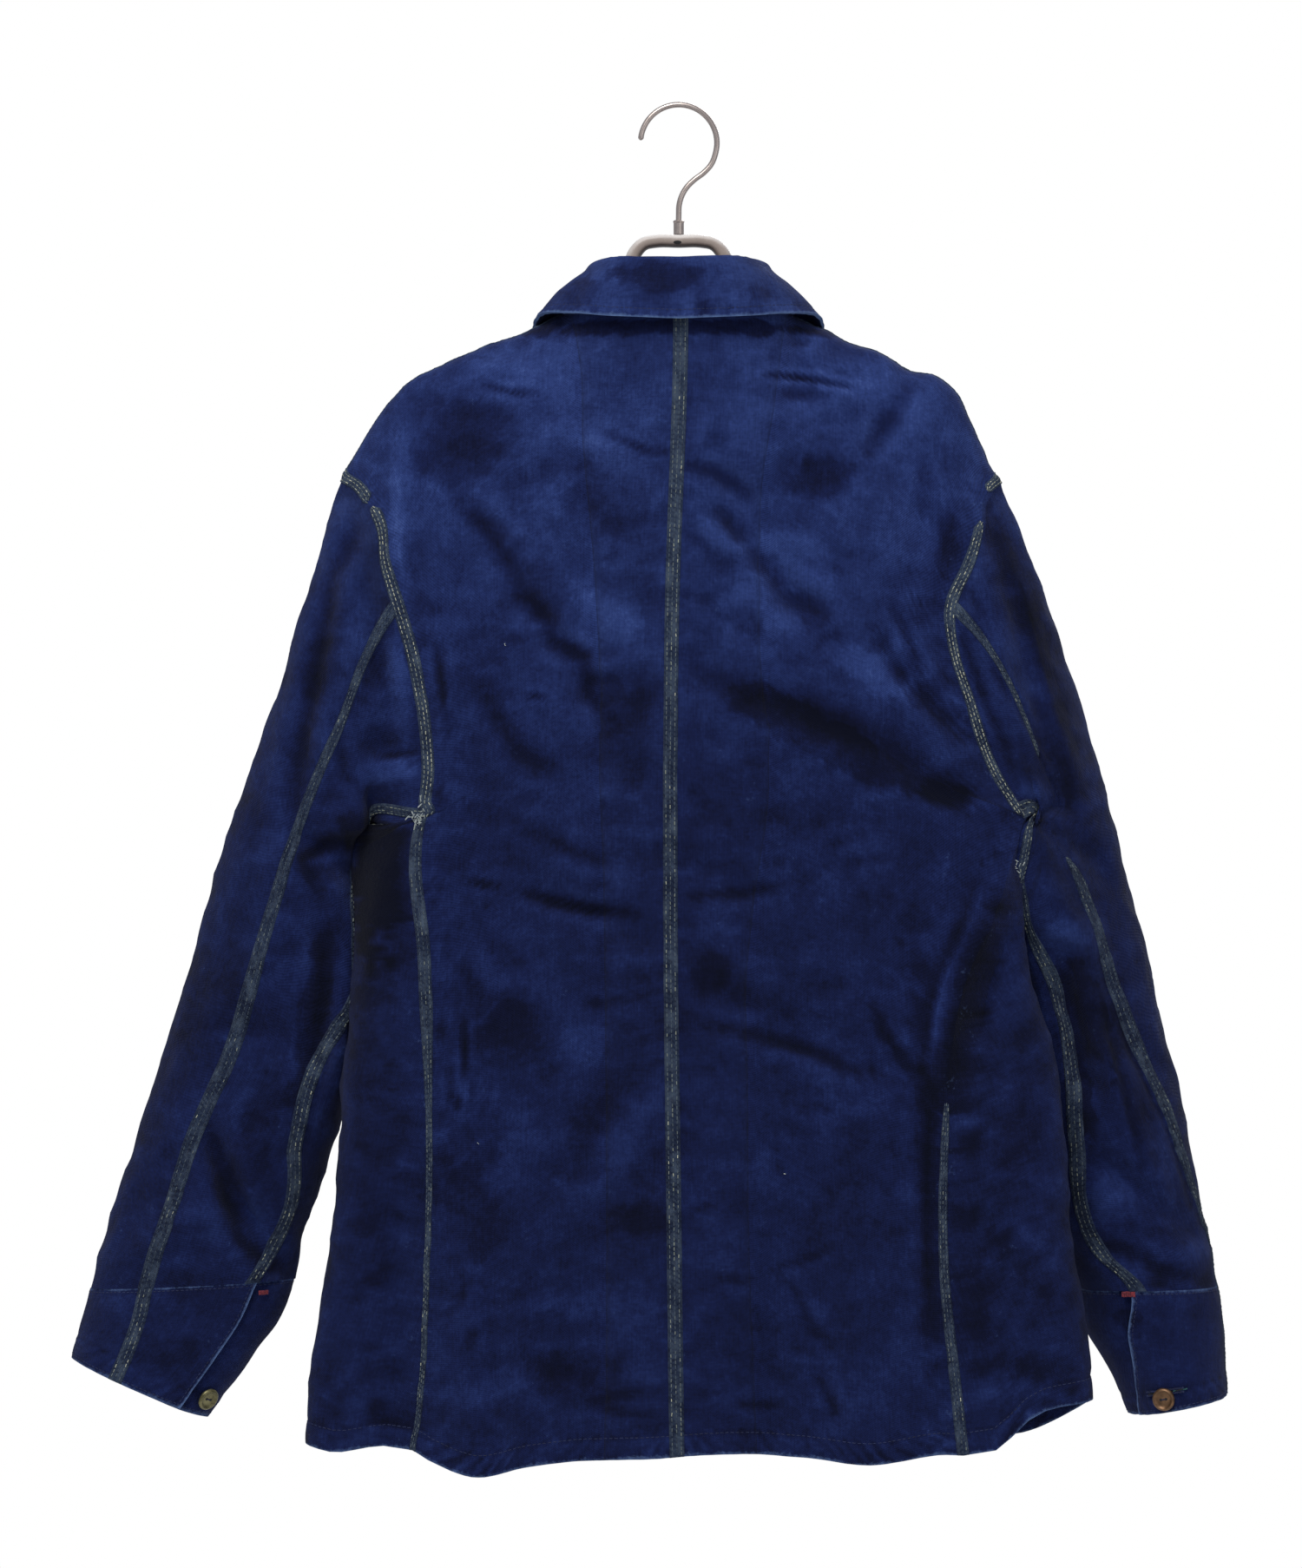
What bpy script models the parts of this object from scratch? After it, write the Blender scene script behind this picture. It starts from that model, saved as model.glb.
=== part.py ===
"""Indigo work jacket hanging on a moulded hanger with a wire hook.

Metres, +Z up. +X is the wearer's right, +Y is the garment's front, so -Y is its back.
The origin is the inner top of the hook, where a rail carries the hanger.

The cloth is made of thin walls. The body panels lie on one hollow form, and each sleeve
is a tube between an outer and an inner guide line that starts on the armhole. Panels share
their seam points, and each panel's edge is drawn back a little from the seam.
All lengths below are millimetres. Only add_object turns them into metres.
"""
import math

import bmesh
import bpy
import numpy as np
from mathutils import Vector

MM = 0.001

# Cloth
WALL = 2.0
SEAM_PULL = 0.18
UNDERARM_DIP = 14.0
COLLAR_WALL = 2.2
COLLAR_SEAM_GAP = 0.45
COLLAR_BULGE = 3.0
COLLAR_TURN_ROW = 4
CUFF_WALL = 2.4

# Body form
BODY_DEPTH = 45.0
RIDGE_FALLOFF = 70.0
SECTION_POWER = 3.0
SECTION_FLATNESS = 0.2
NECK_HALF_WIDTH = 72.0
NECK_BACK_DEPTH = 38.0
NECK_BACK_TOP = -118.0
NECK_SIDE_TOP = -128.5
NECK_FRONT_DROP = 62.0
SIDE_SWING = 18.0
FRONT_LAP = 15.0
LAP_STEP = 3.0

# Divisions: the armhole is cut in steps of 15 degrees
RING_STEP = 15
ELBOW_AT_ARMHOLE = 75
SIDE_SEAM_AT_ARMHOLE = 165
NECK_COLUMNS = 5
SHOULDER_COLUMNS = 6
ROWS_BELOW_ARMHOLE = 12
SLEEVE_ROWS = 18
CUFF_ROWS = 4

# A panel's rows bend to its top and bottom edges only near them, by these powers
TOP_BEND_FADE = 5
BOTTOM_BEND_FADE = 4

# One unit along the body's section counts as this many millimetres where rows are spaced
SECTION_SCALE = 210.0

# Hook, ferrule and hanger
WIRE_RADIUS = 1.75
HOOK_RADIUS = 23.7
SHAFT_BOTTOM = -78.7
FERRULE_RADIUS = 3.2
FERRULE_TOP = -70.0
HANGER_REACH = 166.0

# Buttons
FRONT_BUTTON_RADIUS = 8.5
CUFF_BUTTON_RADIUS = 7.2
BUTTON_THICKNESS = 3.2
BUTTON_GAP = 0.5
FRONT_BUTTON_HEIGHTS = (-222.0, -350.0, -478.0, -606.0, -734.0)
# Place along the cuff, degrees from the slit, and lift off the cuff's curve.
# The left cuff hangs open and its button is on the underlap; the right cuff is closed.
LEFT_CUFF_BUTTON = (1.118, 18, -0.1)
RIGHT_CUFF_BUTTON = (1.142, -36, 0.1)

DENIM = ("denim", (0.018, 0.026, 0.105), 0.92, 0.0)
BUTTON_METAL = ("button_metal", (0.16, 0.10, 0.05), 0.45, 0.9)
HOOK_METAL = ("hook_metal", (0.55, 0.50, 0.48), 0.3, 1.0)
HANGER_PLASTIC = ("hanger_plastic", (0.42, 0.37, 0.33), 0.45, 0.0)


def smooth_curve(points):
    """A smooth line through (place, value) pairs, straight beyond both ends."""
    place = np.array([point[0] for point in points], float)
    value = np.array([point[1] for point in points], float)
    order = np.argsort(place)
    place, value = place[order], value[order]
    slope = np.gradient(value, place)

    def at(where):
        where = np.asarray(where, float)
        inside = np.clip(where, place[0], place[-1])
        low = np.clip(np.searchsorted(place, inside) - 1, 0, len(place) - 2)
        span = place[low + 1] - place[low]
        f = (inside - place[low]) / span
        start = value[low] * (1 + 2 * f) * (1 - f) ** 2 + slope[low] * span * f * (1 - f) ** 2
        end = value[low + 1] * f * f * (3 - 2 * f) + slope[low + 1] * span * f * f * (f - 1)
        outside = slope[0] * np.minimum(where - place[0], 0) + slope[-1] * np.maximum(where - place[-1], 0)
        return start + end + outside

    return at


def smooth_step(value, low, high):
    f = np.clip((np.asarray(value, float) - low) / (high - low), 0, 1)
    return f * f * (3 - 2 * f)


def section_table():
    """The body's section as a flat rounded form: reach and depth along its length."""
    angle = np.linspace(0, math.pi / 2, 2001)
    reach = np.sin(angle) ** (2 / SECTION_POWER)
    depth = np.cos(angle) ** (2 / SECTION_POWER)
    step = np.hypot(np.diff(reach), SECTION_FLATNESS * np.diff(depth))
    along = np.concatenate([[0], np.cumsum(step)])
    return along / along[-1], reach, depth


ALONG, REACH, DEPTH = section_table()


def section_at(p):
    """Reach (0 at the middle, 1 at the side) and depth share for p: 0 back, 1 side, 2 front."""
    p = np.asarray(p, float)
    half = np.where(p > 1, 2 - p, p)
    reach = np.interp(np.abs(half), ALONG, REACH) * np.sign(half)
    return reach, np.interp(np.abs(half), ALONG, DEPTH)


def place_on_section(reach):
    return np.interp(reach, REACH, ALONG)


# Middle of the back, and the hem seen from behind
CENTRE_BACK = smooth_curve([(-100, 1), (-142, 1), (-311, -4.3), (-472, -5.4), (-681, -3.2), (-850, -1)])
HEM = smooth_curve([(-230, -826), (-213, -830), (-188, -827), (-166, -828), (-150, -836), (-125, -844),
                    (-94, -839), (-67, -836), (-18, -834), (31, -831), (78, -833), (120, -837),
                    (156, -832), (198, -827), (216, -810), (256, -799)])


class Side:
    """One half of the garment: sign is -1 for the wearer's left, +1 for the right."""

    def __init__(self, sign, edge, ridge, side_seam, back_armhole, front_armhole, shoulder, underarm,
                 outer, inner, centre, half_depth, elbow, inseam, cuff_end, arch):
        self.sign = sign
        self.name = "left" if sign < 0 else "right"
        self.edge = smooth_curve(edge)
        self.ridge = smooth_curve(ridge)
        self.side_seam = smooth_curve(side_seam)
        self.back_armhole = smooth_curve(back_armhole)
        self.front_armhole = smooth_curve(front_armhole)
        self.shoulder = shoulder
        self.underarm = underarm
        self.outer_x = smooth_curve([(t, x) for t, x, z in outer])
        self.outer_z = smooth_curve([(t, z) for t, x, z in outer])
        self.inner_x = smooth_curve([(t, x) for t, x, z in inner])
        self.inner_z = smooth_curve([(t, z) for t, x, z in inner])
        self.centre = smooth_curve(centre)
        self.half_depth = smooth_curve(half_depth)
        self.elbow = smooth_curve(elbow)
        self.inseam = smooth_curve(inseam)
        self.cuff_end = cuff_end
        self.arch = arch
        self.armhole_place = self.fit_armhole()

    def reach_of(self, x, z):
        middle = self.sign * CENTRE_BACK(z)
        return (x - middle) / (self.edge(np.minimum(z, self.shoulder[1])) - middle)

    def armhole_height(self, degrees):
        middle = (self.shoulder[1] + self.underarm) / 2
        half = (self.shoulder[1] - self.underarm) / 2
        return middle + half * np.cos(np.radians(degrees))

    def fit_armhole(self):
        """Place on the body's section for each angle round the armhole."""
        keys = []
        for degrees in range(-60, 421, RING_STEP):
            turn = degrees % 360
            z = self.armhole_height(turn)
            if turn in (0, 180):
                keys.append((degrees, 1.0))
                continue
            line = self.back_armhole if turn < 180 else self.front_armhole
            place = float(place_on_section(self.reach_of(line(z), z)))
            keys.append((degrees, place if turn < 180 else 2 - place))
        return smooth_curve(keys)


LEFT = Side(
    sign=-1,
    edge=[(-229, 208.5), (-300, 196), (-380, 188), (-440, 187), (-525, 196), (-636, 209), (-697, 214.5),
          (-740, 221), (-783, 227), (-845, 231)],
    ridge=[(72, -128.5), (96, -139.4), (147, -160.8), (180, -182), (194, -204), (206, -225), (209, -229.4),
           (235, -300)],
    side_seam=[(-440, 158), (-455, 161), (-525, 156.5), (-606, 154), (-675, 153.8), (-727, 155.5),
               (-785, 158), (-845, 166)],
    back_armhole=[(-229, 206), (-252, 188), (-290, 181), (-321, 170.4), (-354, 162), (-386, 157),
                  (-411, 155), (-441, 158)],
    front_armhole=[(-229, 206), (-270, 184), (-330, 167), (-390, 157), (-425, 163), (-441, 174)],
    shoulder=(208.5, -229.4), underarm=-445.0,
    outer=[(0, 208.5, -229.4), (0.08, 221.4, -268), (0.16, 234.2, -311), (0.24, 246.6, -354),
           (0.40, 277.6, -439.5), (0.565, 303.4, -525), (0.65, 315.7, -568), (0.74, 329.1, -611),
           (0.82, 342.5, -654), (0.91, 357, -697), (1.0, 367, -734), (1.13, 378, -777)],
    inner=[(0, 187, -445), (0.03, 194, -441), (0.07, 200, -449), (0.12, 202, -468), (0.24, 203.5, -500),
           (0.40, 203.5, -545), (0.565, 206, -590),
           (0.65, 208, -612), (0.74, 212, -636), (0.82, 220, -660), (0.91, 233.5, -695), (1.0, 240.5, -728),
           (1.05, 250, -754), (1.09, 268, -780), (1.13, 293, -814)],
    centre=[(0, -2), (0.12, 5), (0.24, 12), (0.40, 18), (0.65, 23), (1.13, 24)],
    half_depth=[(0, 30), (0.10, 37), (0.24, 42), (0.6, 43), (0.9, 38), (1.0, 33), (1.13, 36)],
    elbow=[(0, 75), (0.1, 88), (0.3, 83), (0.5, 78), (0.66, 74), (0.79, 66), (0.9, 67), (1.0, 65),
           (1.13, 71)],
    inseam=[(0, 165), (0.12, 172), (0.3, 176), (0.45, 168), (0.56, 142), (0.68, 131), (0.78, 133),
            (0.9, 148), (1.0, 132), (1.13, 128)],
    cuff_end=1.13, arch=12.0)

RIGHT = Side(
    sign=1,
    edge=[(-231, 198), (-268, 200), (-330, 200), (-360, 204), (-400, 211), (-438, 218), (-470, 214),
          (-506, 215), (-549, 220), (-568, 227), (-595, 234), (-640, 239), (-713, 245), (-744, 250.5),
          (-786, 254.5), (-845, 257)],
    ridge=[(72, -128.5), (94, -139.4), (140, -160.8), (174, -182), (184.5, -204), (194, -225), (198, -231),
           (225, -300)],
    side_seam=[(-438, 213), (-466, 205), (-506, 192), (-538, 177), (-584, 167), (-630, 163.5),
               (-727, 163.5), (-778, 168.8), (-845, 176)],
    back_armhole=[(-231, 196), (-248, 187), (-268, 186), (-284, 180), (-300, 172), (-318, 167.5),
                  (-343, 172), (-365, 179), (-391, 187), (-410, 194.6), (-425, 202.6), (-440, 213)],
    front_armhole=[(-231, 196), (-270, 184), (-330, 172), (-385, 172), (-425, 186), (-440, 203)],
    shoulder=(198, -231.0), underarm=-444.0,
    outer=[(0, 198, -231), (0.08, 214.4, -268), (0.16, 230.5, -311), (0.24, 245.5, -354),
           (0.32, 258.9, -396.6), (0.40, 271.2, -439.5), (0.48, 281.9, -482.4), (0.565, 293.2, -525.3),
           (0.65, 302.8, -568.2), (0.74, 314.6, -611), (0.82, 322.7, -654), (0.91, 329.6, -696.8),
           (1.0, 337.5, -734), (1.06, 341.5, -760), (1.16, 343.6, -802)],
    inner=[(0, 218, -444), (0.03, 224, -442), (0.07, 229, -453), (0.12, 229, -472), (0.24, 224, -500),
           (0.40, 217, -545), (0.565, 216, -590),
           (0.65, 218, -612), (0.74, 222, -640), (0.82, 228, -665), (0.91, 237, -700), (1.0, 248, -735),
           (1.04, 254, -757), (1.10, 270, -785), (1.16, 283, -814)],
    centre=[(0, -2), (0.12, 10), (0.24, 26), (0.40, 39), (0.65, 44), (1.16, 46)],
    half_depth=[(0, 30), (0.10, 38), (0.24, 45), (0.4, 50), (0.65, 50), (0.9, 46), (1.0, 44), (1.16, 46)],
    elbow=[(0, 75), (0.14, 94), (0.28, 84), (0.42, 74), (0.56, 66), (0.72, 48), (0.85, 26), (0.92, 8),
           (1.0, 0), (1.16, -4)],
    inseam=[(0, 165), (0.12, 165), (0.3, 140), (0.49, 118), (0.64, 118), (0.77, 127), (0.89, 134),
            (0.94, 128), (1.0, 106), (1.06, 120), (1.12, 136), (1.16, 150)],
    cuff_end=1.16, arch=5.0)


# Large folds seen from behind: start and end (x, z), width and height; a hollow is negative
BODY_FOLDS = [
    ((118, -176), (150, -262), 13, -8.0),
    ((60, -242), (120, -222), 20, -5.0),
    ((34, -238), (70, -300), 13, -7.0),
    ((-118, -284), (-22, -408), 15, -5.0),
    ((-150, -330), (-60, -470), 17, 4.0),
    ((-76, -488), (-22, -510), 11, -4.5),
    ((-2, -464), (48, -488), 12, -4.0),
    ((30, -552), (118, -588), 14, -4.5),
    ((-147, -360), (-147, -440), 9, 6.0),
    ((208, -442), (183, -510), 10, 7.0),
    ((183, -510), (162, -600), 10, 6.0),
    ((214, -466), (187, -560), 9, -12.0),
    ((-124, -720), (-122, -846), 22, 11.0),
    ((-174, -690), (-176, -846), 13, -11.0),
    ((-60, -730), (-58, -846), 20, -4.0),
    ((110, -700), (116, -846), 22, 8.0),
    ((54, -740), (52, -846), 16, -4.0),
    ((168, -700), (176, -846), 15, -6.0),
    ((40, -640), (10, -780), 20, 3.0),
]

FRONT_FOLDS = [
    ((-120, -190), (-150, -300), 15, -7.0),
    ((122, -190), (150, -300), 15, -7.0),
    ((-70, -320), (-130, -430), 18, -5.0),
    ((80, -330), (140, -440), 18, -5.0),
    ((-130, -560), (-126, -846), 22, 8.0),
    ((-178, -600), (-180, -846), 14, -8.0),
    ((120, -560), (124, -846), 22, 8.0),
    ((186, -620), (190, -846), 14, -8.0),
    ((70, -600), (66, -846), 16, -4.0),
    ((-66, -600), (-70, -846), 16, -4.0),
]

SLEEVE_FOLDS = [
    ((-186, -312), (-176, -372), 9, -10.0),
    ((-180, -398), (-166, -404), 9, -9.0),
    ((-228, -455), (-203, -478), 9, -9.0),
    ((-214, -480), (-206, -516), 7, 5.0),
    ((-284, -648), (-262, -690), 10, -8.0),
    ((-262, -690), (-246, -716), 10, -8.0),
    ((-296, -560), (-226, -588), 11, -4.5),
    ((-252, -520), (-290, -560), 12, 4.0),
    ((-300, -690), (-345, -712), 10, 4.0),
    ((203, -300), (231, -420), 10, -8.0),
    ((222, -300), (246, -410), 9, 5.0),
    ((206, -412), (226, -428), 8, 6.0),
    ((226, -428), (262, -474), 9, -10.0),
    ((240, -494), (256, -520), 9, 7.0),
    ((232, -520), (252, -600), 10, -10.0),
    ((262, -566), (292, -590), 10, -4.5),
    ((270, -600), (300, -676), 11, 5.0),
    ((268, -660), (318, -696), 10, -7.0),
]

FRONT_SLEEVE_FOLDS = [
    ((-216, -330), (-204, -430), 10, -7.0),
    ((-226, -478), (-262, -500), 11, -6.0),
    ((-250, -560), (-300, -590), 11, -5.0),
    ((-270, -660), (-330, -690), 11, -6.0),
    ((216, -330), (226, -430), 10, -7.0),
    ((236, -478), (266, -500), 11, -6.0),
    ((246, -560), (296, -590), 11, -5.0),
    ((262, -660), (318, -690), 11, -6.0),
]


def relief(folds, x, z):
    """Sum of soft ridges and hollows, each along a short line."""
    total = np.zeros(np.broadcast(x, z).shape)
    for start, end, width, height in folds:
        run = np.array(end, float) - np.array(start, float)
        length = math.hypot(run[0], run[1])
        along = ((x - start[0]) * run[0] + (z - start[1]) * run[1]) / length
        across = ((x - start[0]) * run[1] - (z - start[1]) * run[0]) / length
        past = np.maximum(np.maximum(-along, along - length), 0)
        total = total + height * np.exp(-(across / width) ** 2 - (past / (1.6 * width)) ** 2)
    return total


def body_point(side, p, z):
    """Outer surface of the body in millimetres."""
    p, z = np.broadcast_arrays(np.asarray(p, float), np.asarray(z, float))
    reach, share = section_at(p)
    middle = side.sign * CENTRE_BACK(z)
    out = middle + reach * (side.edge(np.minimum(z, side.shoulder[1])) - middle)
    across = np.abs(out)
    back = p <= 1
    neck = np.clip(across / NECK_HALF_WIDTH, 0, 1)
    neckline = NECK_BACK_TOP + (NECK_SIDE_TOP - NECK_BACK_TOP) * neck ** 2
    over_neck = np.where(back, neckline, NECK_SIDE_TOP)
    top = np.where(across < NECK_HALF_WIDTH, over_neck, side.ridge(across))
    fade = np.exp(-np.maximum(top - z, 0) / RIDGE_FALLOFF)
    opening = np.where(back, NECK_BACK_DEPTH * np.sqrt(1 - neck ** 2), 0)
    depth = np.sqrt(opening ** 2 * fade + BODY_DEPTH ** 2 * (1 - fade))
    x = side.sign * out
    folds = np.where(back, relief(BODY_FOLDS, x, z), relief(FRONT_FOLDS, x, z))
    swing = -SIDE_SWING * reach ** 4 * smooth_step(-z, 400, 500)
    facing = np.where(back, -1.0, 1.0)
    y = swing + facing * share * (depth + folds * (1 - fade))
    return np.stack([x, y, z], axis=-1)


def armhole_point(side, degrees):
    return body_point(side, side.armhole_place(np.mod(degrees, 360)), side.armhole_height(degrees))


def tube_point(side, t, degrees):
    """Sleeve tube before its head is fitted to the armhole."""
    angle = np.radians(degrees)
    c, s = np.cos(angle), np.sin(angle)
    outer_x, inner_x = side.outer_x(t), side.inner_x(t)
    outer_z, inner_z = side.outer_z(t), side.inner_z(t)
    x = side.sign * ((outer_x + inner_x) / 2 + (outer_x - inner_x) / 2 * c)
    z = (outer_z + inner_z) / 2 + (outer_z - inner_z) / 2 * c
    y = side.centre(t) - side.half_depth(t) * np.sign(s) * np.abs(s) ** 0.9
    return np.stack(np.broadcast_arrays(x, y, z), axis=-1)


def sleeve_point(side, t, degrees):
    """Outer surface of a sleeve: t is 0 at the armhole and 1 at the cuff seam."""
    t, degrees = np.broadcast_arrays(np.asarray(t, float), np.asarray(degrees, float))
    point = tube_point(side, t, degrees)
    turn = np.degrees(np.arccos(np.cos(np.radians(degrees))))
    head = 0.35 - 0.22 * smooth_step(turn, 100, 170)
    fade = np.clip(1 - t / head, 0, 1) ** 3
    point = point + (armhole_point(side, degrees) - tube_point(side, 0.0, degrees)) * fade[..., None]
    arch = side.arch * np.exp(-((t - 0.07) / 0.04) ** 2) * smooth_step(turn, 115, 160)
    lift = smooth_step(t, 0.0, 0.08)
    facing = np.sin(np.radians(degrees))
    x, z = point[..., 0], point[..., 2]
    back = relief(SLEEVE_FOLDS, x, z) * np.maximum(facing, 0) ** 0.7
    front = relief(FRONT_SLEEVE_FOLDS, x, z) * np.maximum(-facing, 0) ** 0.7
    point[..., 1] += (front - back) * lift
    point[..., 2] += arch * lift * smooth_step(facing, -0.1, 0.25)
    return point


def fill(top, bottom, start, end, weights):
    """Fill a four-sided outline: straight rows from start to end, bent only near top and bottom."""
    u = arc_shares(top)[:, None]
    top_bend = top - (top[0] * (1 - u) + top[-1] * u)
    bottom_bend = bottom - (bottom[0] * (1 - u) + bottom[-1] * u)
    u = u[None]
    v = np.asarray(weights)[:, None, None]
    rows = (1 - u) * start[:, None] + u * end[:, None]
    return rows + top_bend * (1 - v) ** TOP_BEND_FADE + bottom_bend * v ** BOTTOM_BEND_FADE


def arc_shares(points):
    step = np.linalg.norm(np.diff(points, axis=0), axis=1)
    along = np.concatenate([[0], np.cumsum(step)])
    return along / along[-1]


def in_plane(place, z):
    return np.stack([np.asarray(place, float) * SECTION_SCALE, np.asarray(z, float)], axis=-1)


def top_columns(side):
    """Half widths of the neck and shoulder columns, from the middle out."""
    neck = NECK_HALF_WIDTH * np.sin(np.linspace(0, math.pi / 2, NECK_COLUMNS + 1))
    shoulder = np.linspace(NECK_HALF_WIDTH, side.shoulder[0], SHOULDER_COLUMNS + 1)[1:]
    return neck, shoulder


def hem_height(side, place):
    """Hem along the section: the photo's line behind, a level line in front."""
    reach, _share = section_at(place)
    across = side.sign * reach * side.edge(-830.0)
    front = -833.0 + 8 * smooth_step(np.abs(across), 90, 230)
    behind = HEM(across)
    corner = HEM(side.sign * side.edge(-830.0))
    return np.where(place > 1, corner + (front - corner) * smooth_step(place, 1.0, 1.25), behind)


def side_seam_rows(side):
    """Side seam from the underarm to the hem, as places and heights."""
    start = side.armhole_height(SIDE_SEAM_AT_ARMHOLE)
    guess = place_on_section(side.reach_of(side.side_seam(-830.0), -830.0))
    bottom = float(hem_height(side, guess))
    z = np.linspace(start, bottom, ROWS_BELOW_ARMHOLE + 1)[1:]
    place = place_on_section(side.reach_of(side.side_seam(z), z))
    return in_plane(place, z)


def back_panel(side):
    neck, shoulder = top_columns(side)
    top_x = np.concatenate([neck, shoulder])
    neckline = NECK_BACK_TOP + (NECK_SIDE_TOP - NECK_BACK_TOP) * (neck / NECK_HALF_WIDTH) ** 2
    top_z = np.concatenate([neckline, side.ridge(shoulder)])
    reach = side.reach_of(top_x, top_z)
    reach[0], reach[-1] = 0.0, 1.0
    top = in_plane(place_on_section(reach), top_z)
    angles = np.arange(0, SIDE_SEAM_AT_ARMHOLE + 1, RING_STEP)
    armhole = in_plane(side.armhole_place(angles), side.armhole_height(angles))
    end = np.concatenate([armhole, side_seam_rows(side)])
    end[0] = top[-1]
    weights = (end[:, 1] - end[0, 1]) / (end[-1, 1] - end[0, 1])
    places = arc_shares(top) * end[-1, 0] / SECTION_SCALE
    bottom = in_plane(places, hem_height(side, places))
    bottom[-1] = end[-1]
    start = in_plane(np.zeros(len(weights)), top_z[0] + (bottom[0, 1] - top_z[0]) * weights)
    grid = fill(top, bottom, start, end, weights)
    return body_point(side, grid[..., 0] / SECTION_SCALE, grid[..., 1])


def front_neckline(side):
    """Front neck edge from the shoulder to the middle."""
    angle = np.linspace(0, math.pi / 2, NECK_COLUMNS + 2)[:-1]
    x = NECK_HALF_WIDTH * np.cos(angle)
    z = NECK_SIDE_TOP - NECK_FRONT_DROP * np.sin(angle)
    return x, z


def front_panel(side):
    """Rows run from the overlapping front edge round the side to the side seam."""
    neck_x, neck_z = front_neckline(side)
    neck_x, neck_z = neck_x[::-1], neck_z[::-1]
    _neck, shoulder = top_columns(side)
    lap_z = NECK_SIDE_TOP - NECK_FRONT_DROP
    top_x = np.concatenate([[-FRONT_LAP, 0.0], neck_x, shoulder])
    top_z = np.concatenate([[lap_z, lap_z], neck_z, side.ridge(shoulder)])
    reach = side.reach_of(top_x, top_z)
    reach[-1] = 1.0
    place = 2 - np.sign(reach) * place_on_section(np.abs(reach))
    top = in_plane(place, top_z)
    angles = np.arange(360, SIDE_SEAM_AT_ARMHOLE - 1, -RING_STEP)
    armhole = in_plane(side.armhole_place(angles), side.armhole_height(angles))
    end = np.concatenate([armhole, side_seam_rows(side)])
    end[0] = top[-1]
    weights = arc_shares(end)
    places = place[0] + (end[-1, 0] / SECTION_SCALE - place[0]) * arc_shares(top)
    bottom = in_plane(places, hem_height(side, places))
    bottom[-1] = end[-1]
    start = in_plane(np.full(len(weights), place[0]), lap_z + (bottom[0, 1] - lap_z) * weights)
    grid = fill(top, bottom, start, end, weights)
    place = grid[..., 0] / SECTION_SCALE
    below = np.maximum(np.arange(len(grid)) - len(armhole) + 2, 0)[:, None]
    dip = np.where(below > 0, UNDERARM_DIP * 0.7 ** np.maximum(below - 1, 0), 0)
    clear = smooth_step(place - place[:, -1:], 0, 0.1) * (below < ROWS_BELOW_ARMHOLE)
    grid[..., 1] -= dip * np.exp(-((place - 1) / 0.13) ** 2) * clear
    points = body_point(side, place, grid[..., 1])
    if side.sign > 0:
        under = 1 - smooth_step(points[..., 0], FRONT_LAP + 4, FRONT_LAP + 22)
        facing_front = place > 1.5
        points[..., 1] -= LAP_STEP * under * facing_front
    return points


def sleeve_rows():
    return np.linspace(0, 1, SLEEVE_ROWS + 1) ** 1.08


def under_sleeve(side):
    t = sleeve_rows()[:, None]
    columns = (SIDE_SEAM_AT_ARMHOLE - ELBOW_AT_ARMHOLE) // RING_STEP
    share = np.linspace(0, 1, columns + 1)[None]
    degrees = side.elbow(t) + (side.inseam(t) - side.elbow(t)) * share
    return sleeve_point(side, t, degrees)


def top_sleeve(side):
    t = sleeve_rows()[:, None]
    columns = (360 + ELBOW_AT_ARMHOLE - SIDE_SEAM_AT_ARMHOLE) // RING_STEP
    share = np.linspace(0, 1, columns + 1)[None]
    degrees = side.inseam(t) + (360 + side.elbow(t) - side.inseam(t)) * share
    return sleeve_point(side, t, degrees)


def cuff_grid(side):
    """Cuff band: from the overlap's edge round the sleeve to the end of the underlap."""
    t = np.linspace(1, side.cuff_end, CUFF_ROWS + 1)[:, None]
    elbow, slit = side.elbow(t), side.inseam(t)
    over_columns = (SIDE_SEAM_AT_ARMHOLE - ELBOW_AT_ARMHOLE) // RING_STEP
    round_columns = (360 + ELBOW_AT_ARMHOLE - SIDE_SEAM_AT_ARMHOLE) // RING_STEP
    over = slit + (elbow - slit) * np.linspace(0, 1, over_columns + 1)[None]
    around = elbow + (slit - 360 - elbow) * np.linspace(0, 1, round_columns + 1)[None, 1:]
    lap = slit - 360 - np.array([[12.0, 24.0]])
    degrees = np.concatenate([over, around, lap + 0 * t], axis=1)
    points = sleeve_point(side, t, degrees)
    turned = slit - degrees
    sink = 3.4 * smooth_step(turned, 335, 359)
    axis = tube_axis(side, t)
    inward = axis - points
    inward[..., 2] = 0
    inward /= np.linalg.norm(inward, axis=-1, keepdims=True)
    return points + inward * sink[..., None]


def tube_axis(side, t):
    x = side.sign * (side.outer_x(t) + side.inner_x(t)) / 2
    z = (side.outer_z(t) + side.inner_z(t)) / 2
    return np.stack(np.broadcast_arrays(x, side.centre(t), z), axis=-1)


def face_normals(grid, outward):
    """Normals of a grid's quads, turned to agree with the outward hint."""
    across = grid[1:, 1:] - grid[:-1, :-1]
    other = grid[:-1, 1:] - grid[1:, :-1]
    normal = np.cross(across, other)
    hint = outward[:-1, :-1]
    if np.sum(normal * hint) < 0:
        normal = -normal
    return normal


def unit(vectors):
    return vectors / np.linalg.norm(vectors, axis=-1, keepdims=True)


def own_normals(grid, outward):
    """Unit normals at a grid's own points."""
    faces = face_normals(grid, outward)
    total = np.zeros_like(grid)
    for rows in (slice(0, -1), slice(1, None)):
        for columns in (slice(0, -1), slice(1, None)):
            total[rows, columns] += faces
    return unit(total)


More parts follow.
